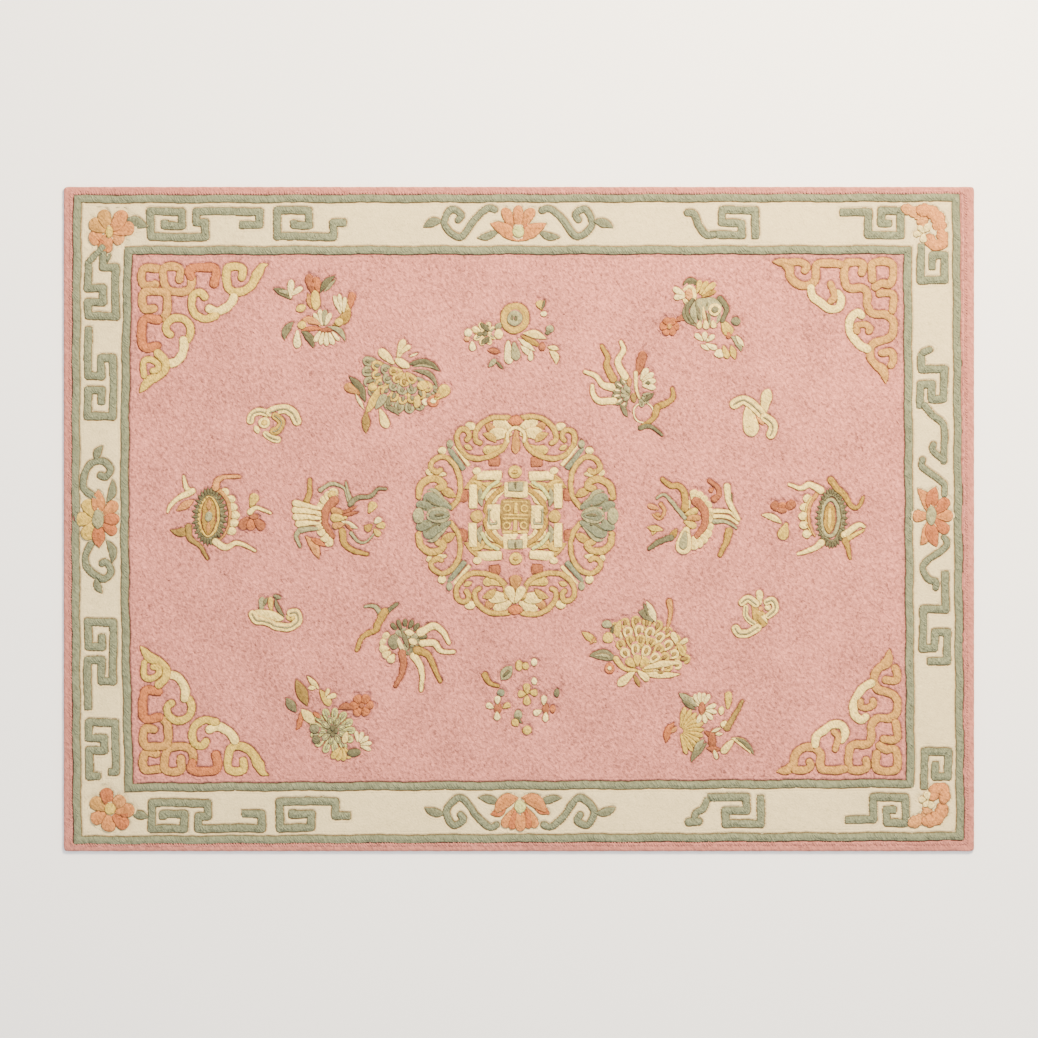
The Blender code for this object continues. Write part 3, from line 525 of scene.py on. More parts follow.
# The medallion: most of it is drawn in one quarter and mirrored into the others
medallion = {
    "home": (-3.5, -3.5),
    "spread": 0.975,
    # drawn in each quarter: points, width, yarn
    "bands": (
        (((-35, -17), (-28, -28), (-17, -35)), 4.5, "pear"),
        (((-99, -18), (-97, -30), (-88, -37), (-78, -36), (-74, -30), (-81, -27)), 7.5, "wheat"),
        (((-8.5, -85), (-10.5, -73), (-18.5, -64), (-33.5, -59), (-46.5, -60), (-55.5, -67), (-60.5, -77),
          (-58.5, -86), (-51.5, -88), (-47.5, -82), (-51, -76)), 5.6, "wheat"),
        (((-5.5, -100), (-20, -101), (-30, -98), (-37.5, -92), (-41.5, -84), (-40.5, -77),
          (-35.5, -74)), 5.6, "wheat"),
        (((-67, -7), (-59, -18), (-57, -32), (-59, -45), (-65, -55), (-75, -60), (-84, -56), (-87, -49), (-81, -44),
          (-75, -47)), 5.6, "wheat"),
    ),
    "wedges": (petal(-13, -25, -28, -12, 13, "cream", -3), leaf(-21, -21, -30, -7, 6, "straw", -2)),
    # fills of each quarter
    "fills": (
        block(-70, -70, -52, -47, 6, "sage"), block(-65, -74, -47, -51, 4.5, "cream"),
        block(-75, -66, -57, -43, 4.5, "mist"), oval(-80, -66, -71, -66, 9, "cream"),
        oval(-71, -73, -64, -73, 9, "mist"), petal(-6, -90, -23, -97, 14, "cream"),
        leaf(-31, -98, -18, -85, 9, "amber", -2), petal(-6, -83, -28, -82, 13, "cream", -2),
        leaf(-34, -84, -20, -75, 8, "wheat", 2), petal(-14, -71, -33, -69, 10, "straw", 3),
        leaf(-53, -72, -44, -68, 6, "straw"), oval(-52, -93, -41, -90, 9, "cream"),
        petal(-72, -42, -92, -45, 9, "cream"), leaf(-78, -28, -61, -19, 9, "wheat"),
        block(-27, -56, -16, -55, 10.5, "rust"), block(-55, -27, -55, -14, 11, "rust"),
        leaf(-53, -28, -37, -45, 10, "wheat", -3), leaf(-46, -36, -29, -26, 9, "straw"),
        leaf(-35, -33, -13, -33, 7, "straw", -2), leaf(-36, -29, -34, -9, 7, "mist", -2),
        block(-14, -40.5, -40, -41.5, 10, "cream"), oval(-44, -46, -35, -46, 8, "cream"),
        block(-43.5, -7, -44, -33, 9, "cream"),
    ),
    # drawn over the bands in each quarter
    "lotus": (
        petal(-68, -8, -90, -26, 15, "mist", 2), petal(-68, -8, -93, -22, 15, "sage", 3),
        petal(-70, -4, -102, -13, 12, "sage", 2), leaf(-74, -9, -92, -17, 3, "moss", 2),
        leaf(-82, -4, -99, -8, 3, "moss"),
    ),
    # on the two sides, mirrored
    "sides": (
        oval(-106, 0, -94, 0, 17, "mist"), oval(-92, 0, -67, 0, 17, "mist"), petal(-70, 0, -89, 0, 11, "sage"),
        leaf(-72, 0, -84, 0, 3, "moss"), oval(-46, 0.5, -33, 0.5, 13, "wheat"),
        block(-22, -11.5, -22, 14.5, 14, "cream"),
    ),
    # at the top and the bottom, flipped
    "ends": (
        oval(-7.5, -97, 7.5, -97, 10, "salmon"), oval(-7, -44.5, 7, -44.5, 13, "straw"),
        oval(-3, -44.5, 3, -44.5, 4, "wheat"), block(-13, -26.5, 13, -26.5, 17, "cream"),
        block(-8.5, -29.5, 8.5, -29.5, 10, "mist"), leaf(0, -35, 0, -25, 2, "moss"),
    ),
    "topEnd": (petal(0, -86, 0, -63, 9, "amber"),),
    "lowEnd": (
        petal(0, 77, 0, 61, 12, "amber"), petal(-1, 89, -8, 73, 10, "cream"), petal(1, 89, 8, 73, 10, "cream"),
    ),
    "arch": ((-8, -74), (-8.5, -84), (0, -90), (8.5, -84), (8, -74)),
    "centre": (
        block(0, -16.5, 0, 19.5, 31, "ochre"), block(-13.5, -14, 13.5, -14, 3.6, "straw"),
        block(-13.5, 0, 13.5, 0, 3.2, "straw"), block(-13.5, 3.4, 13.5, 3.4, 3.2, "straw"),
        block(-13.5, 17, 13.5, 17, 3.6, "straw"), block(0, -14, 0, -1, 4.5, "straw"),
        block(0, 4, 0, 17, 4.5, "straw"),
    ),
    "curls": ((-8.5, -7), (8.5, -7), (-8.5, 10.5), (8.5, 10.5)),
    "sideKey": (-8, 14, 8, -8.5, -4.5),
    "sideKeySpot": (18.5, 6),
    "ring": (31, 5.6, "gold"),   # radius, width, yarn
    "curl": (3.3, 2.6, "straw"),
    "archWidth": 4,
    "sideKeyWidth": 2.8,
}


def medallionFigures():
    home, k = medallion["home"], medallion["spread"]
    quarters = [(side, up) for side in (k, -k) for up in (k, -k)]
    made = [lobe(home, row, flip) for flip in quarters for row in medallion["wedges"]]
    radius, width, yarn = medallion["ring"]
    made.append(hoop((home[0], home[1] + 1), radius * k, radius * k, width, yarn))
    for flip in quarters:
        made += [lobe(home, row, flip) for row in medallion["fills"]]
    for flip in quarters:
        made += [vine(home, points, width, yarn, flip) for points, width, yarn in medallion["bands"]]
    for flip in quarters:
        made += [lobe(home, row, flip) for row in medallion["lotus"]]
    for flip in ((k, k), (-k, k)):
        made += [lobe(home, row, flip) for row in medallion["sides"]]
    for flip in ((k, k), (k, -k)):
        made += [lobe(home, row, flip) for row in medallion["ends"]]
    made += [lobe(home, row, (k, k)) for row in medallion["topEnd"] + medallion["lowEnd"]]
    made.append(vine(home, medallion["arch"], medallion["archWidth"], "cream", (k, k)))
    made += [lobe(home, row, (k, k)) for row in medallion["centre"]]
    radius, width, yarn = medallion["curl"]
    made += [hoop((home[0] + x, home[1] + y), radius, radius, width, yarn, 10) for x, y in medallion["curls"]]
    x, y = medallion["sideKeySpot"]
    for side in (1, -1):
        runs = [run * side if i % 2 == 0 else run for i, run in enumerate(medallion["sideKey"])]
        made.append(key(home[0] - x * side, home[1] - y, "across", runs, medallion["sideKeyWidth"], "mist"))
    return made


# Flower sprays and moths, each drawn from its own home, in the same kind of rows
# fans: x, y, radius, count, first and last degree, length, width, yarn, inner yarn
# fringes: x, y, two radii, count, length, width, yarn
# hoops: x, y, two radii, width, yarn; vines: points, width, yarn
sprays = {
    "leafy bud": {
        "home": (-203.5, -208.5),
        "lobes": (
            leaf(17, 14, 34, -4, 10, "gold", -4), leaf(25, 2, 35, -16, 8, "straw", -2),
            petal(-3, -17, -7, -36, 9, "rust"), petal(1, -17, -1, -33, 8, "salmon", -2),
            leaf(-8, -17, -5, -1, 6, "amber"), oval(-1, -20, 0, 0, 10, "straw"),
            leaf(-42, -22, -24, -11, 8, "moss", 2), petal(-36, -20, -21, -17, 6, "mist"),
            petal(-25, -13, -24, -31, 7, "ivory"), petal(-24, -16, -13, -23, 6, "ivory"),
            leaf(4, -17, 20, -35, 7, "moss", 2), leaf(8, -18, 21, -32, 4, "mist"),
            petal(34, -4, 37, -19, 8, "salmon"), petal(25, 2, 18, -15, 6, "ivory"), petal(26, 0, 23, -17, 5, "ivory"),
            petal(28, 1, 29, -14, 5, "ivory"), oval(19, 11, 28, 11, 9, "straw"), oval(-20, 0, -10, -4, 8, "straw"),
            petal(5, 15, -2, 3, 6, "ivory"), petal(7, 14, 4, -1, 6, "ivory"), petal(9, 14, 9, -1, 6, "mist"),
            petal(10, 14, 15, 2, 6, "ivory"), leaf(-17, 13, 6, 15, 8, "peach", 4), oval(-18, 15, -9, 15, 9, "straw"),
            leaf(-14, 21, 8, 19, 5, "salmon", 2), leaf(4, 20, 20, 18, 5, "rust"), leaf(12, 16, 30, 31, 6, "mist", 5),
            leaf(-22, 12, -31, 30, 8, "stone", -3), petal(-18, 21, -18, 38, 8, "ivory"),
            leaf(-14, 21, -2, 37, 8, "moss", 3), petal(5, 21, -1, 31, 6, "ivory"), petal(8, 22, 5, 34, 6, "ivory"),
            petal(11, 22, 11, 35, 6, "ivory"), petal(14, 22, 18, 34, 6, "ivory"), petal(17, 21, 24, 30, 5, "ivory"),
        ),
    },
    "fan of leaves": {
        "home": (-120.5, -130.5),
        "fans": (
            (6, -18, 38, 11, 194, 34, 17, 10.5, "mist", "stone"),
            (6, -18, 29, 9, 190, 36, 15, 10.5, "straw", "stone"), (6, -18, 20, 6, 184, 40, 14, 11, "mist", "stone"),
            (6, -18, 12, 4, 178, 50, 12, 10, "straw", "ochre"),
        ),
        "lobes": (
            petal(-5, -26, -19, -39, 9, "cream"), petal(0, -30, 5, -50, 8, "cream"),
            petal(2, -36, 12, -43, 6, "cream"), oval(-3, -30, 11, -21, 9, "cream"),
            leaf(11, -32, 20, -35, 3, "ivory"), leaf(10, -24, 41, -17, 8, "moss", 5),
            leaf(14, -22, 38, -19, 3, "mist", 2), leaf(14, -18, 39, 0, 6, "stone", 6),
            oval(-31, -2, -22, 0, 9, "straw"), leaf(-20, -2, -33, 25, 9, "straw", 2),
            leaf(-32, 22, -33, 45, 8, "ochre"), leaf(-50, -12, -33, 14, 9, "moss", 3),
            petal(-40, 5, -54, -4, 9, "amber"), leaf(-43, 5, -34, 21, 4, "ivory"), petal(-22, 20, -13, 6, 9, "mist"),
            leaf(-9, 7, -12, 21, 5, "stone"), petal(-18, 22, -11, 40, 9, "cream"),
            leaf(-13, 19, 1, 27, 6, "stone", 2), oval(18, -4, 29, -2, 10, "straw"), oval(19, 6, 18, 19, 8, "straw"),
            oval(23, 13, 31, 13, 8, "ivory"), oval(29, 13, 41, 12, 12, "salmon"), oval(32, 13, 38, 12, 6, "ivory"),
            petal(38, 10, 50, -2, 12, "straw"), oval(36, 7, 42, 7, 5, "amber"),
        ),
    },
    "ring and ribbon": {
        "home": (-4.5, -198.5),
        "lobes": (
            oval(0, -10, 0, 6, 13, "mist"), leaf(-3, -6, -3, 3, 2.5, "moss"), leaf(1, -8, 1, 4, 2.5, "moss"),
            leaf(-14, 2, -18, 10, 6, "mist"), oval(-20, 14, -11, 14, 9, "cream"), oval(-32, 13, -26, 13, 5, "moss"),
            petal(-34, 11, -42, 7, 6, "cream"), oval(-50, 12, -42, 12, 8, "ivory"),
            oval(-50, 18, -44, 18, 5, "peach"), petal(-42, 21, -42, 30, 6, "ivory"), leaf(-24, 11, -34, 2, 5, "moss"),
            leaf(-30, 13, -37, 13, 4, "moss"), leaf(-24, 16, -33, 24, 5, "moss"), leaf(-27, 30, -14, 32, 5, "rust"),
            petal(-26, 46, -19, 39, 5, "mist"), leaf(-19, 41, -12, 49, 3, "moss"), petal(-6, 22, -6, 44, 8, "ivory"),
            petal(0, 23, 2, 40, 8, "mist"), leaf(4, 18, 21, 30, 5, "ivory"), leaf(6, 25, 19, 36, 5, "ivory"),
            petal(17, 30, 16, 40, 5, "ivory"), leaf(8, 13, 32, 18, 7, "cream", 2), leaf(6, 15, 28, 26, 5, "gold"),
            oval(24.5, 26, 31.5, 26, 7, "rust"), leaf(33, 26, 45, 29, 5, "cream"),
            leaf(35, 30, 42, 44, 6, "cream", 3), petal(27, -12, 25, -20, 8, "straw"),
            leaf(31, -21, 27, -11, 3, "moss"), oval(25.5, -7, 32.5, -7, 5, "ivory"), oval(35, 4, 35, 12, 7, "mist"),
            oval(30, 12, 35, 12, 4, "moss"),
        ),
        "fans": ((-29, 13, 9, 8, 20, 335, 12, 6.5, "cream", "mist"),),
        "hoops": ((0, -2, 10.5, 11.5, 8.5, "wheat"),),
        "grow": 1.2,
    },
    "ribbon spray": {
        "home": (111.5, -130.5),
        "fans": (
            (0, 4, 15, 6, 118, 240, 13, 7, "stone", "ivory"), (0, 4, 7, 4, 130, 235, 9, 7, "mist", ""),
            (7, -4, 15, 4, -58, 12, 13, 6.5, "ivory", ""), (9, 6, 10, 3, 5, 75, 9, 6, "mist", "moss"),
        ),
        "lobes": (
            petal(6, -13, 13, -37, 9.5, "rust"), leaf(-9, 16, -3, 28, 6, "stone"), oval(-1, -11, -1, -2, 5, "amber"),
            oval(3, 4, 4, 14, 6, "ochre"), oval(15, -5, 20, -5, 4, "moss"), leaf(24, 5, 15, 12, 5, "moss"),
        ),
        "vines": (
            (((-5, -11), (-13, -26), (-7, -39), (-10, -48)), 8, "cream"),
            (((-17, -9), (-24, -22), (-23, -32), (-29, -44)), 8, "gold"),
            (((-17, -1), (-28, -4), (-35, -12), (-47, -17)), 8, "cream"),
            (((-15, 12), (-30, 13), (-37, 7), (-39, -4)), 8, "cream"), (((5, -17), (6, 0), (10, 11)), 5, "cream"),
            (((25, 20), (38, 14), (43, 8), (41, -1)), 7.5, "gold"),
            (((27, 18), (24, 28), (17, 34), (8, 39)), 7.5, "gold"), (((8, 39), (20, 38), (32, 48)), 6, "moss"),
        ),
        "hoops": ((13, 24, 10, 10, 2.0, "ivory"),),
        "taper": 0.5,
    },
    "streaked bloom": {
        "home": (184.5, -200.5),
        "fans": ((-34, 8, 7, 6, 0, 300, 9, 8, "salmon", ""),),
        "lobes": (
            oval(-34, 5, -34, 11, 6, "amber"), leaf(-29, 3, -13, -1, 6, "rust", 2),
            leaf(-20, -31, -4, -35, 9, "moss", 4), oval(-14, -34, -14, -13, 16, "cream"),
            oval(-14, -30, -14, -18, 8, "peach"), petal(-19, -24, -30, -30, 7, "ivory"),
            petal(-19, -21, -30, -21, 6, "ivory"), petal(-6, -26, -3, -39, 6, "straw"),
            petal(-3, -25, 4, -38, 6, "straw"), petal(-1, -24, 12, -36, 7, "straw"),
            petal(-1, -22, 13, -28, 5, "gold"), oval(-14, -7, 20, -7, 30, "mist"),
            leaf(-16, -18, -6, 8, 6, "stone", -8), leaf(-8, -19, -3, 7, 4, "stone"), leaf(-2, -20, 2, 8, 4, "cream"),
            leaf(4, -19, 5, 6, 4, "stone"), oval(5, -9, 18, -9, 13, "cream"), oval(8, -9, 15, -9, 7, "stone"),
            petal(-4, 2, -5, 10, 6, "cream"), petal(2, 2, 2, 11, 7, "cream"), petal(9, 2, 10, 10, 7, "cream"),
            petal(19, 4, 27, 17, 12, "straw"), petal(24, 14, 26, 20, 6, "salmon"), oval(27, 3, 37, 3, 9, "stone"),
            leaf(27, 18, 38, 33, 8, "mist", 3), leaf(32, 17, 41, 28, 5, "ivory"), leaf(28, 27, 32, 41, 7, "straw"),
            petal(-1, 22, -9, 15, 6, "ivory"), petal(1, 22, 1, 13, 6, "ivory"), petal(3, 23, 11, 17, 6, "ivory"),
            petal(3, 26, 14, 31, 6, "ivory"), leaf(-3, 26, 6, 32, 5, "ivory"), oval(11, 36, 22, 35, 9, "ivory"),
            petal(20, 28, 25, 40, 7, "straw"),
        ),
        "vines": ((((16, -21), (23, -10), (18, 4)), 6, "moss"), (((-10, -20), (-17, -8), (-11, 5)), 5, "moss")),
        "taper": 0.8,
    },
    "left fringed medal": {
        "home": (-306.5, -6.5),
        "fringes": ((-3, 4, 14, 25, 30, 8, 3.6, "moss"),),
        "lobes": (
            oval(-4, -14, -4, 22, 14, "gold"), leaf(-4, -13, -4, -2, 6, "amber"), leaf(-4, 10, -4, 21, 6, "amber"),
            oval(-4, -1, -4, 9, 9, "mist"), oval(8, -20, 17, -20, 9, "cream"), oval(13, -13, 23, -13, 9, "cream"),
            oval(15, -5, 25, -5, 9, "cream"), oval(16, 3, 27, 3, 9, "cream"), oval(16, 11, 26, 11, 9, "cream"),
            oval(14, 19, 24, 19, 9, "cream"), leaf(-19, -13, -36, -2, 8, "peach"),
            leaf(-20, 12, -42, 18, 9, "ochre", 5), petal(38, -7, 44, -19, 10, "straw"),
            petal(34, 6, 28, 17, 11, "rust"), petal(38, 6, 38, 18, 9, "salmon"), petal(42, 6, 51, 17, 10, "rust"),
            oval(36, 4, 46, 4, 6, "rust"),
        ),
        "vines": (
            (((5, -23), (14, -13), (17, 3), (14, 19), (7, 28)), 5, "amber"),
            (((3, -23), (5, -31), (13, -35), (29, -36)), 8, "peach"),
            (((-21, -20), (-27, -26), (-29, -38)), 7, "cream"),
            (((-19, -22), (-34, -15), (-42, -7), (-45, 1)), 7, "cream"),
            (((-24, 13), (-22, 26), (-12, 34), (-5, 47)), 7.5, "ochre"),
            (((2, 28), (13, 35), (26, 31), (44, 39)), 8, "cream"), (((36, 0), (44, -5), (59, 1)), 6.5, "cream"),
        ),
        "hoops": ((-3, 4, 12.5, 22, 5, "stone"), (-4, 4, 9.5, 19, 3.4, "straw")),
        "taper": 0.4,
    },
    "left ribboned bud": {
        "home": (-180.5, -2.5),
        "fans": ((-1, 2, 20, 10, 118, 256, 9, 10, "cream", "", 1.4),),
        "lobes": (
            oval(-11, -22, -3, -22, 8, "straw"), leaf(-33, 20, -20, 43, 9, "peach", 2),
            leaf(-28, 22, -13, 30, 6, "salmon"), petal(5, -4, -8, -7, 8, "amber"), petal(8, 1, -8, 1, 9, "straw"),
            petal(5, 7, -6, 10, 8, "amber"), leaf(3, -3, 18, -10, 4, "rust"), leaf(3, -1, 20, -4, 4, "rust"),
            leaf(3, 4, 20, 12, 6, "ivory"), leaf(6, 6, 14, 14, 4, "rust"), petal(30, -4, 36, -14, 9, "straw"),
            petal(33, 9, 27, 14, 8, "gold"), petal(36, 7, 42, 2, 7, "ivory"), petal(38, 10, 47, 9, 7, "straw"),
            petal(36, 13, 42, 20, 7, "straw"),
        ),
        "vines": (
            (((-36, -6), (-30, -22), (-29, -38)), 8, "gold"), (((-37, 12), (-42, 20), (-38, 32)), 6, "mist"),
            (((-20, -26), (-8, -33), (5, -28), (9, -14)), 5, "mist"), (((14, -12), (9, -24), (7, -35)), 5, "mist"),
            (((-45, -13), (-30, -10), (-16, -8)), 7.5, "cream"), (((-45, -6), (-30, -5), (-16, -3)), 7.5, "cream"),
            (((-44, 1), (-30, 1), (-17, 2)), 7.5, "cream"), (((-41, 8), (-30, 7), (-18, 7)), 7.5, "cream"),
            (((-38, 14), (-30, 13), (-19, 12)), 7, "mist"), (((-4, -17), (-12, -8), (-13, 7), (-5, 21)), 10, "rust"),
            (((4, 13), (6, 27), (15, 34), (30, 38)), 8, "gold"),
            (((10, -11), (18, -18), (32, -20), (39, -27), (49, -28)), 6, "stone"),
            (((12, 15), (20, 25), (29, 25), (36, 17)), 4, "mist"),
        ),
        "taper": 0.5,
    },
    "right ribboned bud": {
        "home": (173.5, -1.5),
        "fans": ((0, 2, 19, 11, -84, 84, 9, 9.5, "cream", "", 1.4),),
        "lobes": (
            petal(-4, -10, -7, -18, 8, "cream"), petal(-8, -3, 5, -8, 8, "straw"), petal(-9, 0, 8, 0, 7, "amber"),
            petal(-8, 4, 4, 9, 8, "straw"), petal(-6, 12, -10, 37, 17, "cream"), petal(-7, 15, -10, 32, 10, "mist"),
            leaf(40, -24, 38, -6, 6, "moss", -2), leaf(-36, 8, -40, 18, 6, "straw"),
            leaf(-45, 10, -29, 13, 7, "straw"), petal(-34, -8, -45, -12, 6, "peach"),
            oval(-38, -2, -32, -2, 6, "amber"), leaf(-22, 23, -15, 11, 7, "gold"),
        ),
        "vines": (
            (((-8, -8), (-8, -24), (-14, -32), (-22, -32), (-31, -39)), 8, "gold"),
            (((3, -17), (11, -8), (12, 6), (4, 19)), 10, "rust"), (((20, -6), (36, -5), (47, 4)), 5, "cream"),
            (((20, -1), (34, 0), (46, 7)), 5, "cream"), (((20, 4), (34, 5), (45, 12)), 5, "mist"),
            (((35, -32), (36, -17), (41, -6), (47, 3)), 7, "cream"),
            (((21, -17), (27, -23), (25, -30), (16, -37)), 7, "rust"), (((18, -26), (21, -29)), 5, "salmon"),
            (((-7, 1), (-14, -7), (-24, -19), (-30, -23), (-37, -18)), 5, "mist"),
            (((-33, -14), (-28, -6), (-33, 2), (-40, -3)), 4.5, "amber"),
            (((-20, 20), (-34, 25), (-45, 32)), 7, "moss"), (((37, 13), (34, 25), (27, 39)), 8, "gold"),
        ),
        "taper": 0.6,
    },
    "right fringed medal": {
        "home": (300.5, -3.5),
        "fringes": ((12, 2.5, 13, 27, 30, 7, 3.6, "moss"),),
        "lobes": (
            oval(10, -13, 10, 18, 12, "gold"), oval(10, -8, 10, 13, 5, "straw"), oval(-17, -17, -8, -17, 9, "cream"),
            oval(-20, -8, -10, -8, 9, "cream"), oval(-21, 1, -11, 1, 9, "cream"), oval(-20, 10, -10, 10, 9, "cream"),
            oval(-17, 19, -8, 19, 9, "cream"), petal(-39, -4, -48, -13, 9, "rust"),
            petal(-37, -3, -37, -13, 9, "salmon"), petal(-34, -5, -25, -14, 9, "rust"),
            oval(-42, -5, -32, -5, 7, "rust"), leaf(-58, -1, -37, 8, 7, "cream", 2),
            petal(-33, 9, -38, 24, 11, "straw"),
        ),
        "vines": (
            (((-3, -22), (-10, -10), (-10, 7), (-4, 22)), 5.5, "amber"),
            (((-8, -19), (-13, -8), (-13, 7), (-7, 20)), 3, "straw"),
            (((2, -25), (-10, -31), (-19, -27), (-32, -31)), 8, "cream"),
            (((11, -37), (17, -28), (25, -20), (30, -11), (36, -7), (41, -11), (44, -19)), 7.5, "gold"),
            (((24, 20), (38, 10), (46, 12)), 8, "cream"), (((25, 25), (36, 19), (45, 14)), 6, "straw"),
            (((26, 24), (29, 33), (31, 44)), 7, "gold"), (((3, 27), (-7, 34), (-23, 39)), 8, "cream"),
        ),
        "hoops": ((12, 2.5, 11.5, 24, 5, "stone"), (10.5, 2, 8.5, 18.5, 4.4, "mist")),
        "taper": 0.45,
    },
    "swept ribbons": {
        "home": (-116.5, 124.5),
        "fans": (
            (2, -2, 20, 8, -125, 5, 11, 5, "moss", ""), (2, 0, 13, 6, -120, 20, 10, 7, "mist", ""),
            (-4, 2, 17, 5, 215, 118, 9, 9, "cream", ""),
        ),
        "lobes": (
            oval(-15, -2, -3, -2, 15, "stone"), oval(0, 6, 12, 8, 10, "stone"), oval(-3, 4, 5, 5, 10, "mist"),
            leaf(-8, -10, 4, 14, 5, "ivory"), leaf(-1, -14, 6, 6, 5, "stone"), oval(2, -12, 11, -10, 7, "cream"),
            oval(6, -4, 14, 0, 7, "cream"),
        ),
        "vines": (
            (((-20, -28), (-13, -34), (-4, -41)), 7, "moss"), (((-20, -28), (-28, -37), (-39, -36)), 6, "mist"),
            (((-17, -33), (-25, -19), (-28, -13), (-40, -6), (-46, 8)), 8.5, "gold"),
            (((16, -10), (31, -17), (40, -11), (47, 1)), 8.5, "cream"),
            (((18, 0), (31, 0), (39, 8), (53, 9)), 8, "cream"),
            (((10, 11), (17, 20), (20, 32), (18, 48)), 8, "cream"),
            (((13, 6), (25, 11), (31, 22), (38, 39)), 8.5, "gold"),
            (((-1, 8), (1, 20), (-1, 32), (-8, 44)), 8, "rust"),
        ),
        "taper": 0.5,
    },
    "scaled bloom": {
        "home": (116.5, 121.5),
        "fans": (
            (2, 30, 50, 9, -118, -14, 15, 10.5, "straw", "ochre"),
            (2, 30, 41, 8, -120, -8, 14, 10.5, "cream", "ochre"), (2, 30, 32, 7, -122, -6, 13, 10, "straw", "ochre"),
            (2, 30, 23, 5, -124, -6, 13, 10, "cream", "ochre"), (2, 30, 13, 4, -130, -10, 11, 9, "straw", ""),
        ),
        "lobes": (
            leaf(6, 29, 47, 23, 7, "cream", 2), leaf(5, 32, 45, 34, 7, "cream", -2), oval(22, 32, 28, 32, 4, "ochre"),
            leaf(2, -28, 17, -18, 11, "stone", 3), leaf(11, -39, 20, -18, 8, "ivory"),
            leaf(8, -37, 12, -24, 4, "moss"), oval(-34, -17, -24, -16, 9, "mist"),
            petal(-16, -19, -21, -4, 9, "straw"), leaf(-22, -17, -25, -4, 4, "moss"),
            oval(-33, -3, -22, -3, 12, "straw"), leaf(-54, -8, -39, 2, 8, "straw"), leaf(-40, -3, -46, 4, 4, "amber"),
            leaf(-46, 16, -18, 19, 11, "stone", 3), leaf(-42, 16, -22, 18, 4, "mist", 2),
            oval(-31, 28, -21, 28, 11, "salmon"), oval(-28, 28, -24, 28, 5, "ivory"),
            petal(-2, 31, -18, 45, 9, "cream"), petal(2, 30, 13, 40, 8, "cream"), leaf(-2, 34, 4, 46, 5, "ochre"),
            petal(42, 4, 36, -9, 7, "cream"), petal(43, 4, 52, -2, 6, "cream"), petal(42, 2, 49, 15, 7, "straw"),
        ),
        "vines": ((((34, -40), (35, -28), (31, -11)), 7, "amber"), (((-20, 17), (-12, 27), (2, 30)), 7, "straw")),
    },
    "low left posy": {
        "home": (-188.5, 199.5),
        "fans": (
            (2, 12, 19, 13, 0, 334, 14, 7.5, "pear", "mist"), (2, 12, 11, 9, 20, 340, 11, 6.5, "mist", "pear"),
            (2, 12, 4, 4, 0, 270, 6, 6, "moss", ""), (31, -13, 9, 6, 0, 300, 10, 9, "salmon", ""),
            (11, 26, 13, 4, 60, 125, 12, 7, "straw", ""), (27, 27, 11, 5, -95, 20, 11, 5, "ivory", ""),
        ),
        "lobes": (
            oval(28, -13, 34, -13, 6, "rust"), leaf(8, -10, 24, -9, 7, "rust", 3),
            leaf(-35, -39, -23, -12, 11, "ochre"), leaf(-24, -42, -12, -29, 6, "cream"),
            oval(-23, -30, -15, -30, 5, "cream"), petal(-10, -27, 0, -13, 8, "straw"),
            petal(-4, -20, 6, -24, 6, "cream"), petal(-5, -22, -2, -30, 5, "cream"),
            leaf(-45, -21, -34, -6, 9, "stone"), leaf(-29, -9, -15, 6, 10, "cream"),
            leaf(-30, -6, -34, 12, 6, "salmon", 2), leaf(-17, -6, -9, 0, 5, "salmon"),
            oval(-21, 10, -11, 10, 10, "stone"), oval(-19, 21, -10, 21, 9, "moss"), petal(16, 14, 13, 25, 7, "cream"),
            oval(16, 35, 30, 34, 9, "moss"),
        ),
    },
    "low centre posy": {
        "home": (4.5, 175.5),
        "lobes": (
            leaf(-11, -28, -23, -15, 9, "mist"), leaf(-12, -25, -22, -17, 2.5, "moss"),
            oval(-27, -2, -19, -2, 6, "sage"), oval(-4, -34, -4, -23, 6, "straw"), oval(-1, -28, 6, -28, 6, "straw"),
            oval(8, -32, 14, -32, 6, "ivory"), oval(8, -13, 14, -13, 6, "ivory"), petal(3, -1, 3, -11, 6, "straw"),
            petal(1, 0, -6, 0, 6, "straw"), petal(6, -2, 14, -1, 6, "straw"), petal(3, 2, 3, 11, 6, "straw"),
            oval(30, -2, 36, -2, 7, "moss"), oval(-29, 14, -21, 14, 8, "rust"), petal(-26, 9, -26, 1, 5, "ivory"),
            petal(-30, 13, -37, 9, 5, "ivory"), petal(-20, 13, -13, 10, 5, "straw"),
            petal(-26, 18, -26, 26, 5, "ivory"), oval(18, 14, 26, 14, 8, "rust"), oval(26, 14, 32, 14, 6, "salmon"),
            petal(20, 10, 20, 1, 5, "ivory"), petal(17, 16, 10, 20, 5, "ivory"), petal(22, 18, 22, 27, 5, "ivory"),
            oval(-9, 21, -1, 21, 8, "mist"), leaf(-9, 22, -1, 29, 3, "moss"), leaf(-11, 25, -5, 32, 6, "straw"),
            oval(4, 31, 4, 40, 7, "straw"),
        ),
        "vines": ((((-40, -21), (-34, -12), (-24, -8)), 6.5, "gold"),),
        "grow": 1.35,
    },
    "low right posy": {
        "home": (188.5, 205.5),
        "fans": (
            (-27, 6, 18, 11, -80, 76, 20, 5.6, "straw", ""), (-6, -17, 12, 5, -140, -60, 12, 5.5, "ivory", ""),
            (-5, -15, 11, 5, -20, 110, 11, 5.5, "ivory", ""),
        ),
        "lobes": (
            oval(-6, -23, -6, -10, 6.5, "rust"), leaf(-29, -31, -11, -18, 9, "mist"),
            leaf(-26, -24, -12, -15, 5, "moss"), petal(20, -16, 21, -33, 8, "straw"),
            oval(14, -18, 13, -9, 6, "cream"), leaf(-33, -2, -42, 18, 8, "salmon", -2),
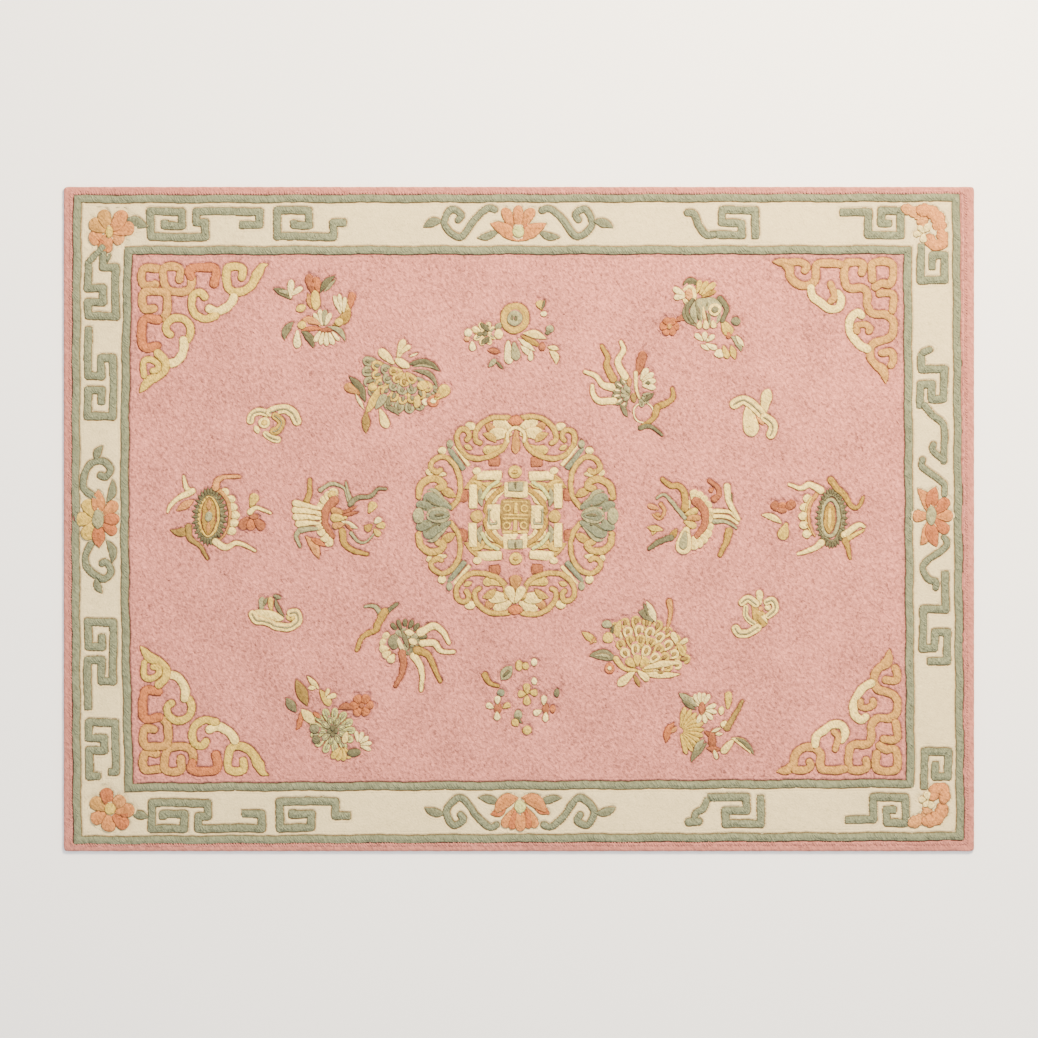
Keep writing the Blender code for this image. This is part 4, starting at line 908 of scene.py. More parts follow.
            leaf(-30, 2, -36, 8, 5, "peach"), oval(13, 0, 22, 1, 8, "cream"), leaf(-3, 7, 7, 14, 5, "rust"),
            leaf(5, 4, 5, 29, 8, "rust"), leaf(-1, 24, 13, 26, 6, "rust"), leaf(4, 8, 14, 4, 4, "ivory"),
            leaf(8, 10, 16, 10, 4, "ivory"), petal(7, 26, 9, 35, 5, "ivory"), leaf(0, 19, -17, 37, 8, "stone", -2),
            leaf(-3, 15, -14, 27, 7, "mist"), petal(26, 16, 14, 29, 8, "cream"), leaf(24, 14, 43, 29, 8, "cream", 4),
            leaf(28, 13, 46, 30, 5, "stone", 3),
        ),
        "vines": ((((19, 5), (29, -12), (35, -24)), 7, "ochre"),),
    },
    "upper left moth": {
        "home": (-246.5, -97.5),
        "lobes": (
            oval(-14, 1, -2, 1, 12, "cream"), oval(-11, 1, -5, 1, 6, "straw"), oval(-17, 4, -14, 12, 6, "cream"),
        ),
        "vines": (
            (((-22, 1), (-20, -7), (-12, -10), (-4, -8)), 7.5, "cream"),
            (((-3, -9), (10, -13), (20, -9), (25, 1)), 10, "cream"), (((2, -7), (9, 0), (5, 8), (0, 10)), 8, "wheat"),
            (((-8, 11), (-2, 16), (6, 18)), 7, "cream"),
        ),
        "taper": 1.0,
        "lined": "mist",
    },
    "upper right moth": {
        "home": (235.5, -101.5),
        "lobes": (
            petal(-5, -12, -3, 19, 17, "cream"), leaf(-7, 0, -6, 16, 3, "straw"), leaf(0, 0, 1, 16, 3, "straw"),
            petal(9, -3, 14, -29, 11, "cream"), oval(3, -2, 9, 7, 6, "peach"),
        ),
        "vines": (
            (((-21, -12), (-12, -17), (-2, -13), (8, -3)), 10, "cream"),
            (((9, -1), (17, 5), (18, 12), (15, 18)), 10, "cream"),
        ),
        "taper": 1.0,
        "lined": "mist",
    },
    "lower left moth": {
        "home": (-243.5, 92.5),
        "lobes": (
            petal(-14, 0, -13, -15, 7, "mist"), leaf(-12, -5, -8, -15, 4, "stone"), petal(-4, 0, -5, -15, 6, "straw"),
            oval(-2, -16, 6, -13, 5, "stone"), leaf(0, -14, 9, 6, 5, "stone", -2), oval(-22, 0, 8, 8, 11, "cream"),
            oval(10, 6, 19, 6, 8, "straw"),
        ),
        "vines": (
            (((-23, 1), (-19, 8), (-9, 10), (1, 15), (14, 16), (22, 10), (21, 2), (14, 2)), 8.5, "cream"),
        ),
        "taper": 1.0,
        "lined": "mist",
    },
    "lower right moth": {
        "home": (236.5, 95.5),
        "lobes": (
            petal(-1, -8, 8, 12, 14, "wheat"), leaf(3, -5, 12, 9, 5, "cream"), leaf(-1, -3, 5, 10, 3, "ochre"),
            oval(3, -7, 8, -5, 6, "peach"), petal(5, -11, 4, -25, 8, "cream"), oval(9, -7, 15, -7, 7, "cream"),
        ),
        "vines": (
            (((-14, -11), (-7, -16), (2, -10)), 8, "cream"), (((-9, -9), (-10, -1), (-7, 5), (-1, 9)), 6, "cream"),
            (((10, -12), (17, -14), (20, -7), (16, -1), (11, 2)), 7, "cream"),
            (((3, 12), (-7, 18), (-16, 19), (-21, 13)), 8.5, "cream"),
        ),
        "taper": 1.0,
        "lined": "mist",
    },
}


# Petals side by side round a point; degrees clockwise from the right
def fan(home, x, y, radius, count, start, stop, length, width, yarn, inner, tall=1.0):
    parts = [(petal, -0.7, 0.3, width, yarn)] + ([(oval, -0.35, 0.12, 0.42 * width, inner)] if inner else [])
    made = []
    for i in range(count):
        a = math.radians(start + (stop - start) * i / max(count - 1, 1))
        c, d = math.cos(a), math.sin(a) * tall
        for shape, nearShare, farShare, wide, dye in parts:
            near, far = radius + nearShare * length, radius + farShare * length
            made.append(lobe(home, shape(x + near * c, y + near * d, x + far * c, y + far * d, wide, dye)))
    return made


# Short dashes all round an oval
def fringe(home, x, y, radiusX, radiusY, count, length, width, yarn):
    made = []
    for i in range(count):
        c, d = math.cos(2 * math.pi * i / count), math.sin(2 * math.pi * i / count)
        made.append(lobe(home, leaf(x + (radiusX - length / 2) * c, y + (radiusY - length / 2) * d,
                                    x + (radiusX + length / 2) * c, y + (radiusY + length / 2) * d, width, yarn)))
    return made


middleReach = (60, 50)  # squares from the centre that still count as the middle
linedWidth = 1.4        # of the thin line along a moth's wing


# All sprays, gathered by the part of the field that they lie in
def sprayFigures():
    made = {}
    for spec in sprays.values():
        home = spec["home"]
        column = "left" if home[0] < -middleReach[0] else "right" if home[0] > middleReach[0] else "middle"
        row = "upper" if home[1] < -middleReach[1] else "lower" if home[1] > middleReach[1] else "centre"
        group = made.setdefault(f"spray_{row}_{column}", [])
        group += [hoop((home[0] + x, home[1] + y), *rest) for x, y, *rest in spec.get("hoops", ())]
        for row in spec.get("fringes", ()):
            group += fringe(home, *row)
        for row in spec.get("fans", ()):
            group += fan(home, *row)
        grow = spec.get("grow", 1.0)
        group += [lobe(home, row._replace(width=row.width * grow)) for row in spec["lobes"]]
        for points, width, yarn in spec.get("vines", ()):
            group.append(vine(home, points, width, yarn, tip=width * spec.get("taper", 0.45)))
            if spec.get("lined"):
                group.append(vine(home, points, linedWidth, spec["lined"]))
    return made


waver = {
    "slow": 0.0016,  # how far lines stray from the chart over a hand's breadth
    "quick": 0.0006,
    "width": 0.05,
}


def wave(along, across, pitch, bend, bendPitch, shift=0):
    return np.sin(along * pitch + bend * np.sin(across * bendPitch) + shift)


# The stroke as a hand would follow it, a little off the chart
def handTufted(stroke):
    x, y = stroke.spots.T
    slow = np.column_stack([wave(y, x, 27, 1.3, 11), wave(x, y, 24, 1.1, 13, 2)])
    quick = np.column_stack([wave(y, x, 148, 2.1, 61), wave(x, y, 137, 1.7, 73, 1)])
    swollen = 1 + waver["width"] * np.sin(x * 91 + y * 67 + 2 * np.sin(y * 31))
    spots = stroke.spots + waver["slow"] * slow + waver["quick"] * quick
    return stroke._replace(spots=spots, half=stroke.half * swollen)


# The map of gaps tells how far each spot lies from the nearest figure, and which figure lies on top
def mapSize():
    return (int(rug["length"] / carving["cell"]) + 3, int(rug["width"] / carving["cell"]) + 3)


def stampStroke(gaps, tops, stroke, order):
    reach = carving["tuckReach"] + 2 * carving["cell"]
    cell, (columns, rows) = carving["cell"], mapSize()
    spots, half = stroke.spots, stroke.half
    pairs = list(zip(range(len(spots) - 1), range(1, len(spots))))
    if stroke.closed:
        pairs.append((len(spots) - 1, 0))
    for i, j in pairs:
        a, b = spots[i], spots[j]
        run = b - a
        size = float(run @ run)
        if size < 1e-10 and i > 0:
            continue
        wide = max(half[i], half[j]) + reach
        low = np.floor((np.minimum(a, b) - wide + [rug["length"] / 2, rug["width"] / 2]) / cell).astype(int)
        high = np.ceil((np.maximum(a, b) + wide + [rug["length"] / 2, rug["width"] / 2]) / cell).astype(int) + 1
        low, high = np.maximum(low, 0), np.minimum(high, [columns, rows])
        if (high <= low).any():
            continue
        x = np.arange(low[0], high[0])[:, None] * cell - rug["length"] / 2 - a[0]
        y = np.arange(low[1], high[1])[None, :] * cell - rug["width"] / 2 - a[1]
        share = np.clip((x * run[0] + y * run[1]) / max(size, 1e-12), 0, 1)
        away = np.hypot(x - share * run[0], y - share * run[1]) - (half[i] + (half[j] - half[i]) * share)
        window = (slice(low[0], high[0]), slice(low[1], high[1]))
        gaps[window] = np.minimum(gaps[window], away)
        tops[window] = np.where(away < -carving["overlap"], order, tops[window])


# The map's value at each point, between its cells
def readMap(field, points):
    place = (points + [rug["length"] / 2, rug["width"] / 2]) / carving["cell"]
    place = np.clip(place, 0, np.array(mapSize()) - 1.001)
    base = place.astype(int)
    (fx, fy), (x, y) = (place - base).T, base.T
    return (field[x, y] * (1 - fx) * (1 - fy) + field[x + 1, y] * fx * (1 - fy)
            + field[x, y + 1] * (1 - fx) * fy + field[x + 1, y + 1] * fx * fy)


# Soft unevenness of the sheared pile, the same for every piece
def swell(points):
    x, y = points.T
    waves = wave(x, y, 61, 1.3, 37) + wave(y, x, 83, 1.7, 29) + wave(x + y, x - y, 131, 2.1, 53)
    return rug["groundSwell"] * waves / 2


# Height against the plain pile at that gap from a figure's edge
def grooveProfile(gap):
    c = carving
    return np.interp(gap, [-0.0006, 0, c["floorReach"], c["lipReach"], c["collarReach"], c["tuckReach"]],
                     [-c["hidden"], -c["floorDrop"], -c["floorDrop"], c["lipRise"], c["lipRise"] / 2, -c["tuckDrop"]])


def newMesh(name, vertices, faces, materials, slots=None, colours=None, shade=None, smooth=True):
    mesh = bpy.data.meshes.new(name)
    mesh.vertices.add(len(vertices))
    mesh.vertices.foreach_set("co", np.asarray(vertices, np.float32).ravel())
    faces = np.asarray(faces, np.int32)
    mesh.loops.add(faces.size)
    mesh.loops.foreach_set("vertex_index", faces.ravel())
    mesh.polygons.add(len(faces))
    mesh.polygons.foreach_set("loop_start", np.arange(0, faces.size, faces.shape[1], dtype=np.int32))
    if slots is not None:
        mesh.polygons.foreach_set("material_index", np.asarray(slots, np.int32))
    if colours is not None:
        layer = mesh.attributes.new("yarn", "FLOAT_COLOR", "POINT")
        layer.data.foreach_set("color", np.asarray(colours, np.float32).ravel())
    if shade is not None:
        layer = mesh.attributes.new("shade", "FLOAT", "POINT")
        layer.data.foreach_set("value", np.asarray(shade, np.float32))
    mesh.update(calc_edges=True)
    mesh.validate()
    mesh.polygons.foreach_set("use_smooth", np.full(len(mesh.polygons), smooth))
    for material in materials:
        mesh.materials.append(material)
    piece = bpy.data.objects.new(name, mesh)
    bpy.context.scene.collection.objects.link(piece)
    return piece


# Columns of a strip: tuck, collar, lip, groove, rim, shoulder, dome, crown, and back down on the right
rimColumn, crownColumn, farRimColumn = 4, 7, 10
shadeColumns = (0, 0, 0.2, 1.0, 1.0, 0.75, 0.12, 0)
riseColumns = {"shoulder": (0.1, 0.3), "dome": 0.78}  # shares of the rim's drop and of the crown's rise
plumpness = (0.25, 1)
shoulderShare, domeShare = 0.30, 0.68                 # at most this share of a narrow figure's half width
ownReach = 0.0011


# One stroke as a strip: rows along it, columns from its left tuck over the crown to its right tuck
def crossSections(stroke, order, gaps, tops):
    c = carving
    half = stroke.half[:, None]
    reaches = [c["tuckReach"], c["collarReach"], c["lipReach"], c["floorReach"], 0.0]
    outer = np.repeat(np.array(reaches)[None, :], len(half), 0)
    shoulder = -np.minimum(c["shoulderReach"], shoulderShare * half)
    dome = -np.minimum(c["domeReach"], domeShare * half)
    reach = np.concatenate([outer, shoulder, dome, -half], axis=1)
    top = c["crownRise"] * np.clip(half / c["fullHalf"], *plumpness)
    drop, rise = riseColumns["shoulder"]
    inner = np.concatenate([np.full_like(half, -c["rimDrop"]), rise * top - drop * c["rimDrop"],
                            riseColumns["dome"] * top, top], axis=1)
    shades = np.array(shadeColumns)
    wide = half + reach
    left = stroke.spots[:, None, :] + stroke.left[:, None, :] * wide[:, :, None]
    right = stroke.spots[:, None, :] + stroke.right[:, None, :] * wide[:, :, None]
    grid = np.concatenate([left, right[:, -2::-1]], axis=1)
    flat = grid.reshape(-1, 2)
    gap = readMap(gaps, flat).reshape(grid.shape[:2])
    ringReach = np.concatenate([reach, reach[:, -2::-1]], axis=1)
    gap = np.where(gap > ringReach - ownReach, ringReach, gap)  # only its own edge is near
    height = grooveProfile(gap)
    own = slice(rimColumn, farRimColumn + 1)
    height[:, own] = np.concatenate([inner, inner[:, -2::-1]], axis=1)
    x, y = np.round((flat + [rug["length"] / 2, rug["width"] / 2]) / c["cell"]).astype(int).T
    columns, rows = mapSize()
    over = tops[np.clip(x, 0, columns - 1), np.clip(y, 0, rows - 1)].reshape(grid.shape[:2])
    height[:, own] = np.where(over[:, own] > order, -c["hidden"], height[:, own])
    height = height + rug["pileTop"] + swell(flat).reshape(height.shape)
    shades[crownColumn] += stroke.vein  # painted shade along the carved midrib of a leaf
    height[:, crownColumn] -= c["veinCut"] * stroke.vein
    shade = np.broadcast_to(np.concatenate([shades, shades[-2::-1]]), height.shape)
    return grid, height, shade


# Which side of each run of a guard stripe's middle line the points lie on: above 0 is outside the rug's field
def pastStripe(name, points):
    corners = np.array([onRug(*p) for p in border[name]["corners"]])
    past = []
    for a, b in zip(corners, np.roll(corners, -1, axis=0)):
        run, gap = b - a, points - a
        past.append(run[0] * gap[:, 1] - run[1] * gap[:, 0])
    return np.array(past)


# True on the rose pile: the field inside the inner stripe, and the band outside the outer one
def onRose(points):
    return (pastStripe("innerStripe", points) < 0).all(axis=0) | (pastStripe("outerStripe", points) > 0).any(axis=0)


# Several strokes as one piece: wool of their own yarns, and carved ground round them
def figurePiece(name, strokes, gaps, tops, wool, groundWool):
    vertices, faces, slots, colours, shades = [], [], [], [], []
    start = 0
    for order, stroke in strokes:
        grid, height, shade = crossSections(stroke, order, gaps, tops)
        rows, columns = height.shape
        index = start + np.arange(rows * columns).reshape(rows, columns)
        if stroke.closed:
            index = np.concatenate([index, index[:1]])
        quads = np.stack([index[:-1, :-1], index[:-1, 1:], index[1:, 1:], index[1:, :-1]], axis=-1)
        slot = np.zeros(quads.shape[:2], int)
        middle = (grid[:, :-1] + grid[:, 1:]) / 2
        if stroke.closed:
            middle = np.concatenate([middle, middle[:1]])
        middle = (middle[:-1] + middle[1:]) / 2
        ground = np.ones(quads.shape[:2], bool)
        ground[:, rimColumn:farRimColumn] = False
        rose = onRose(middle.reshape(-1, 2)).reshape(slot.shape)
        slot[ground & rose] = 1
        slot[ground & ~rose] = 2
        vertices.append(np.concatenate([grid.reshape(-1, 2), height.reshape(-1, 1)], axis=1))
        faces.append(quads.reshape(-1, 4)[:, ::-1])
        slots.append(slot.ravel())
        colours.append(np.tile([*linear(yarns[stroke.yarn]), 1.0], (rows * columns, 1)))
        shades.append(shade.ravel())
        start += rows * columns
    piece = newMesh(name, np.concatenate(vertices), np.concatenate(faces), [wool, groundWool, creamWool],
                    np.concatenate(slots), np.concatenate(colours), np.concatenate(shades))
    tidyMesh(piece)
    return piece


# Joins the points that meet at caps and corners, and turns every face up
def tidyMesh(piece):
    work = bmesh.new()
    work.from_mesh(piece.data)
    bmesh.ops.remove_doubles(work, verts=work.verts, dist=carving["weld"])
    work.normal_update()
    for face in work.faces:
        if face.normal.z < 0:
            face.normal_flip()
    work.to_mesh(piece.data)
    work.free()


# How far plain pile goes down, by its gap from the nearest figure
def letDown(gap):
    return np.where(gap < carving["lipReach"] + carving["letMargin"], carving["letDown"], 0)


# Plain pile as a grid, let down under the figures
def groundPiece(name, spotOf, columns, rows, wool, gaps):
    u, v = np.meshgrid(np.linspace(0, 1, columns + 1), np.linspace(0, 1, rows + 1), indexing="ij")
    points = np.array([spotOf(a, b) for a, b in zip(u.ravel(), v.ravel())])
    height = rug["pileTop"] + swell(points) - letDown(readMap(gaps, points))
    index = np.arange(len(points)).reshape(columns + 1, rows + 1)
    quads = np.stack([index[:-1, :-1], index[1:, :-1], index[1:, 1:], index[:-1, 1:]], axis=-1).reshape(-1, 4)
    piece = newMesh(name, np.column_stack([points, height]), quads, [wool], None, None, np.zeros(len(points)))
    tidyMesh(piece)
    return piece


def addNode(tree, kind, inputs=None, **settings):
    node = tree.nodes.new(kind)
    for name, value in settings.items():
        setattr(node, name, value)
    for name, value in (inputs or {}).items():
        if isinstance(value, bpy.types.NodeSocket):
            tree.links.new(value, node.inputs[name])
        else:
            node.inputs[name].default_value = value
    return node


def maths(tree, operation, a, b=0.0, c=0.0):
    return addNode(tree, "ShaderNodeMath", {0: a, 1: b, 2: c}, operation=operation).outputs[0]


def noise(tree, where, scale, detail=2.0, rough=0.5, distortion=0.0):
    node = addNode(tree, "ShaderNodeTexNoise", {"Vector": where, "Scale": scale, "Detail": detail,
                                                "Roughness": rough, "Distortion": distortion})
    return node.outputs["Fac"]


def scaleColour(tree, colour, factor):
    return addNode(tree, "ShaderNodeVectorMath", {0: colour, "Scale": factor}, operation="SCALE").outputs[0]


def combine(tree, colour, other):
    return addNode(tree, "ShaderNodeVectorMath", {0: colour, 1: other}, operation="MULTIPLY").outputs[0]


# How far a value between 0 and 1 strays from its middle, times a strength, on top of a base
def stray(tree, value, strength, base):
    return maths(tree, "MULTIPLY_ADD", maths(tree, "SUBTRACT", value, 0.5), strength, base)


# Of each wool: its colour, how dark the painted shade in the partings between tufts is, then its random tone and
# tufts
woolLooks = {
    "roseWool": {"colour": (180, 115, 105), "partingShade": 0.30, "blotch": 0.55, "mottle": 0.50, "grain": 1.90,
                 "tuftScale": 105, "slant": 0.75, "bump": 1.0},
    "rimWool": {"colour": (176, 114, 105), "partingShade": 0.30, "blotch": 0.50, "mottle": 0.60, "grain": 1.50,
                "tuftScale": 105, "slant": 0.75, "bump": 1.0, "groove": (0.15, 0.12, 0.10)},
    "creamWool": {"colour": (208, 191, 147), "partingShade": 0.14, "blotch": 0.16, "mottle": 0.24, "grain": 0.45,
                  "tuftScale": 170, "slant": 0.8, "bump": 0.5},
    "edgeWool": {"colour": (170, 108, 96), "partingShade": 0.20, "blotch": 0.25, "mottle": 0.40, "grain": 1.0,
                 "tuftScale": 110, "slant": 0.45, "bump": 1.1},
    "figureWool": {"colour": None, "partingShade": 0.0, "blotch": 0.25, "mottle": 0.55, "grain": 1.9,
                   "tuftScale": 150, "slant": 0.6, "bump": 1.0},
    "stripeWool": {"colour": None, "partingShade": 0.0, "blotch": 0.30, "mottle": 0.50, "grain": 1.3,
                   "tuftScale": 110, "slant": 0.42, "bump": 1.0},
}
pile = {
    "lean": 58,              # degrees that rows of tufts slant off the rug's length
    "groove": (0.40, 0.31, 0.24),  # what light is left in a carved groove
    # scale, detail, roughness, distortion of each noise
    "blotch": (5.0, 3.0, 0.55),
    "mottle": (48.0, 2.0, 0.6, 0.4),
    "grain": (2.0, 0.6, 0.6),      # its scale is the wool's own
    "swirl": (44.0, 1.5, 0.5, 1.3),
    "partings": (40.0, 1.0),
    "shadeBreaks": (120.0, 1.0),
    "knotShade": (1.1, 0.38),
    "partingWidth": 0.020,
    "partingShare": 0.55,
    "mottleHeight": 0.9,
    "bumpDepth": 0.0045,
    "roughness": 0.95,
    "specular": 0.1,
    "sheen": 0.06,
    "sheenRoughness": 0.6,
}


def woolMaterial(name):
    look = woolLooks[name]
    material = bpy.data.materials.new(name)
    material.use_nodes = True
    tree = material.node_tree
    shader = tree.nodes["Principled BSDF"]
    where = addNode(tree, "ShaderNodeTexCoord").outputs["Object"]
    if look["colour"]:
        base = addNode(tree, "ShaderNodeRGB").outputs[0]
        base.default_value = (*linear(look["colour"]), 1)
    else:
        base = addNode(tree, "ShaderNodeAttribute", attribute_name="yarn").outputs["Color"]
    # tufts lie in slanting rows, so their grain is drawn out along the slant
    lean = math.radians(pile["lean"])
    ways = ((math.cos(lean), -math.sin(lean), 0), (math.sin(lean), math.cos(lean), 0))
    along, across = [addNode(tree, "ShaderNodeVectorMath", {0: where, 1: way},
                             operation="DOT_PRODUCT").outputs["Value"] for way in ways]
    rows = addNode(tree, "ShaderNodeCombineXYZ", {0: maths(tree, "MULTIPLY", along, look["slant"]), 1: across})
    blotch = noise(tree, where, *pile["blotch"])
    mottle = noise(tree, where, *pile["mottle"])
    grain = noise(tree, rows.outputs[0], look["tuftScale"], *pile["grain"])
    value = stray(tree, blotch, look["blotch"], 1.0)
    value = stray(tree, mottle, look["mottle"], value)
    value = stray(tree, grain, look["grain"], value)
    if look["partingShade"]:  # painted shade in short curved partings between tufts
        swirl = maths(tree, "SUBTRACT", noise(tree, rows.outputs[0], *pile["swirl"]), 0.5)
        line = maths(tree, "LESS_THAN", maths(tree, "ABSOLUTE", swirl), pile["partingWidth"])
        patch = maths(tree, "GREATER_THAN", noise(tree, where, *pile["partings"]), pile["partingShare"])
        value = maths(tree, "MULTIPLY_ADD", maths(tree, "MULTIPLY", line, patch), -look["partingShade"], value)
    tinted = scaleColour(tree, base, value)
    # painted shade: the shade attribute darkens the colour in the carved grooves and at the figures' edges, and a
    # noise breaks it into a broken line
    shade = addNode(tree, "ShaderNodeAttribute", attribute_name="shade").outputs["Fac"]
    shadeBreaks = maths(tree, "MULTIPLY_ADD", noise(tree, where, *pile["shadeBreaks"]), *pile["knotShade"])
    shade = addNode(tree, "ShaderNodeMath", {0: shade, 1: shadeBreaks}, operation="MULTIPLY", use_clamp=True).outputs[0]
    dark = combine(tree, tinted, look.get("groove", pile["groove"]))
    mixed = addNode(tree, "ShaderNodeMix", {"Factor": shade, 6: tinted, 7: dark}, data_type="RGBA")
    tree.links.new(mixed.outputs[2], shader.inputs["Base Color"])
    shader.inputs["Roughness"].default_value = pile["roughness"]
    shader.inputs["Specular IOR Level"].default_value = pile["specular"]
    shader.inputs["Sheen Weight"].default_value = pile["sheen"]
    shader.inputs["Sheen Roughness"].default_value = pile["sheenRoughness"]
    height = maths(tree, "MULTIPLY_ADD", mottle, pile["mottleHeight"], grain)
    bump = addNode(tree, "ShaderNodeBump", {"Strength": look["bump"], "Distance": pile["bumpDepth"],
                                            "Height": height})
    tree.links.new(bump.outputs[0], shader.inputs["Normal"])
    return material


roseWool, creamWool, rimWool, edgeWool, figureWool, stripeWool = [
    woolMaterial(name) for name in ("roseWool", "creamWool", "rimWool", "edgeWool", "figureWool", "stripeWool")]
print("wool ready")

# All figures are laid out in the order that they are tufted
sections = {"stripes": [guardStripe("outerStripe"), guardStripe("innerStripe")]}
for sideName, made in borderFigures().items():
    sections["border_" + sideName] = made
sections.update(cornerFigures())
sections["medallion"] = medallionFigures()
sections.update(sprayFigures())

gaps = np.full(mapSize(), 0.1)  # farther than any figure reaches
tops = np.full(mapSize(), -1)
ordered = {}
count = 0
for sectionName, strokes in sections.items():
    ordered[sectionName] = []
    for stroke in map(handTufted, strokes):
        stampStroke(gaps, tops, stroke, count)
        ordered[sectionName].append((count, stroke))
        count += 1
print("figures laid out:", count)

pieces = []
for sectionName, strokes in ordered.items():
    wools = (stripeWool, rimWool) if sectionName == "stripes" else (figureWool, roseWool)
    pieces.append(figurePiece(sectionName, strokes, gaps, tops, *wools))
print("figures tufted:", sum(len(p.data.polygons) for p in pieces), "faces")

# Plain pile: the rose field in tiles, the cream border by side
fieldTiles = {"across": 3, "down": 2}
borderWidth = 0.19


def gridSteps(length):
    return max(2, round(length / rug["groundCell"]))


fieldLength = np.hypot(*(stripeLine("innerStripe", 1, 0.5) - stripeLine("innerStripe", 0, 0.5)))
fieldWidth = np.hypot(*(stripeLine("innerStripe", 0.5, 1) - stripeLine("innerStripe", 0.5, 0)))
for i in range(fieldTiles["across"]):
    for j in range(fieldTiles["down"]):
        def tileSpot(u, v, i=i, j=j):
            return stripeLine("innerStripe", (i + u) / fieldTiles["across"], (j + v) / fieldTiles["down"])
        pieces.append(groundPiece(f"field_{i}_{j}", tileSpot, gridSteps(fieldLength / fieldTiles["across"]),
                                  gridSteps(fieldWidth / fieldTiles["down"]), roseWool, gaps))

sideWays = {
    "top": (lambda t: (t, 0), rug["length"]),
    "right": (lambda t: (1, t), rug["width"]),
    "low": (lambda t: (1 - t, 1), rug["length"]),
    "left": (lambda t: (0, 1 - t), rug["width"]),
}
for sideName, (way, length) in sideWays.items():
    def bandSpot(u, v, way=way):
        outer, inner = stripeLine("outerStripe", *way(u)), stripeLine("innerStripe", *way(u))
        return outer + (inner - outer) * v
    pieces.append(groundPiece("ground_" + sideName, bandSpot, gridSteps(length), gridSteps(borderWidth),
                              creamWool, gaps))
print("ground laid")

# The outer band is rolled over at the edge and goes down to the backing
edge = {
    # inset from the outline, height
    "roll": ((0.0110, 0.0150), (0.0060, 0.0146), (0.0028, 0.0132), (0.0008, 0.0105), (0.0000, 0.0075),
             (0.0002, 0.0045), (0.0016, 0.0022)),
    "bandSteps": 5,
    "waver": 0.0008,
    "waverPitch": (0.9, 1.7, 0.37),
    "tuftLine": 3,  # which of the band's lines carries its row of tufts
}


# A point on the rug's outline, moved in, with rounded corners
def outlineSpot(way, t, inset):
    u, v = way(t)
    halfX, halfY = rug["length"] / 2, rug["width"] / 2
    x, y = (2 * u - 1) * halfX, (1 - 2 * v) * halfY
    limitX, limitY = halfX - inset, halfY - inset
    x, y = min(max(x, -limitX), limitX), min(max(y, -limitY), limitY)
    r = rug["cornerRadius"]
    coreX, coreY = limitX - r, limitY - r
    away = np.array([max(abs(x) - coreX, 0), max(abs(y) - coreY, 0)])
    if away.min() > 0 and np.hypot(*away) > r:
        away = away / np.hypot(*away) * r
        x, y = math.copysign(coreX + away[0], x), math.copysign(coreY + away[1], y)
    return np.array([x, y])


rows = []
for way, length in sideWays.values():
    steps = gridSteps(length)
    for k in range(steps):
        t = k / steps
        inner = stripeLine("outerStripe", *way(t))
        outer = outlineSpot(way, t, edge["roll"][0][0])
        line = [inner + (outer - inner) * s / edge["bandSteps"] for s in range(edge["bandSteps"])]
        worn = edge["waver"] * (0.5 + 0.5 * wave(k, k, *edge["waverPitch"]))
        line += [outlineSpot(way, t, inset + worn) for inset, _ in edge["roll"]]
        rows.append(line)
band = np.array(rows)
flat = band.reshape(-1, 2)
heights = np.full(band.shape[:2], rug["pileTop"])
heights[:, edge["bandSteps"]:] = [z for _, z in edge["roll"]]
heights -= letDown(readMap(gaps, flat)).reshape(heights.shape)
level = slice(0, edge["bandSteps"] + 2)
heights[:, level] += swell(flat).reshape(heights.shape)[:, level]
index = np.arange(heights.size).reshape(heights.shape)
index = np.concatenate([index, index[:1]])
quads = np.stack([index[:-1, :-1], index[1:, :-1], index[1:, 1:], index[:-1, 1:]], axis=-1).reshape(-1, 4)
pieces.append(newMesh("outer_band", np.column_stack([flat, heights.ravel()]), quads, [edgeWool], None, None,
                      np.zeros(len(flat))))

# Rows of single tufts, laid slanting across the stripes, the frets and the outer band
tufting = {
    # spacing along the row, size of one tuft (half length, half thickness, half height), middle's height
    "stripe_tufts": {"spacing": 0.0092, "size": (0.0135, 0.0040, 0.0016), "height": 0.0163, "seed": 3,
                     "dye": yarns["sage"]},
    "fret_tufts": {"spacing": 0.0088, "size": (0.0118, 0.0038, 0.0016), "height": 0.0163, "seed": 8,
                   "dye": yarns["sage"]},
    "band_tufts": {"spacing": 0.0096, "size": (0.0105, 0.0042, 0.0014), "height": 0.0148, "seed": 5,
                   "dye": (128, 128, 128)},  # undyed, since the band's wool has its own colour
    "turn": 0.35,    # radians either way
    "stray": 0.0012,
    "sag": 0.3,      # share of the stray that is up and down
}


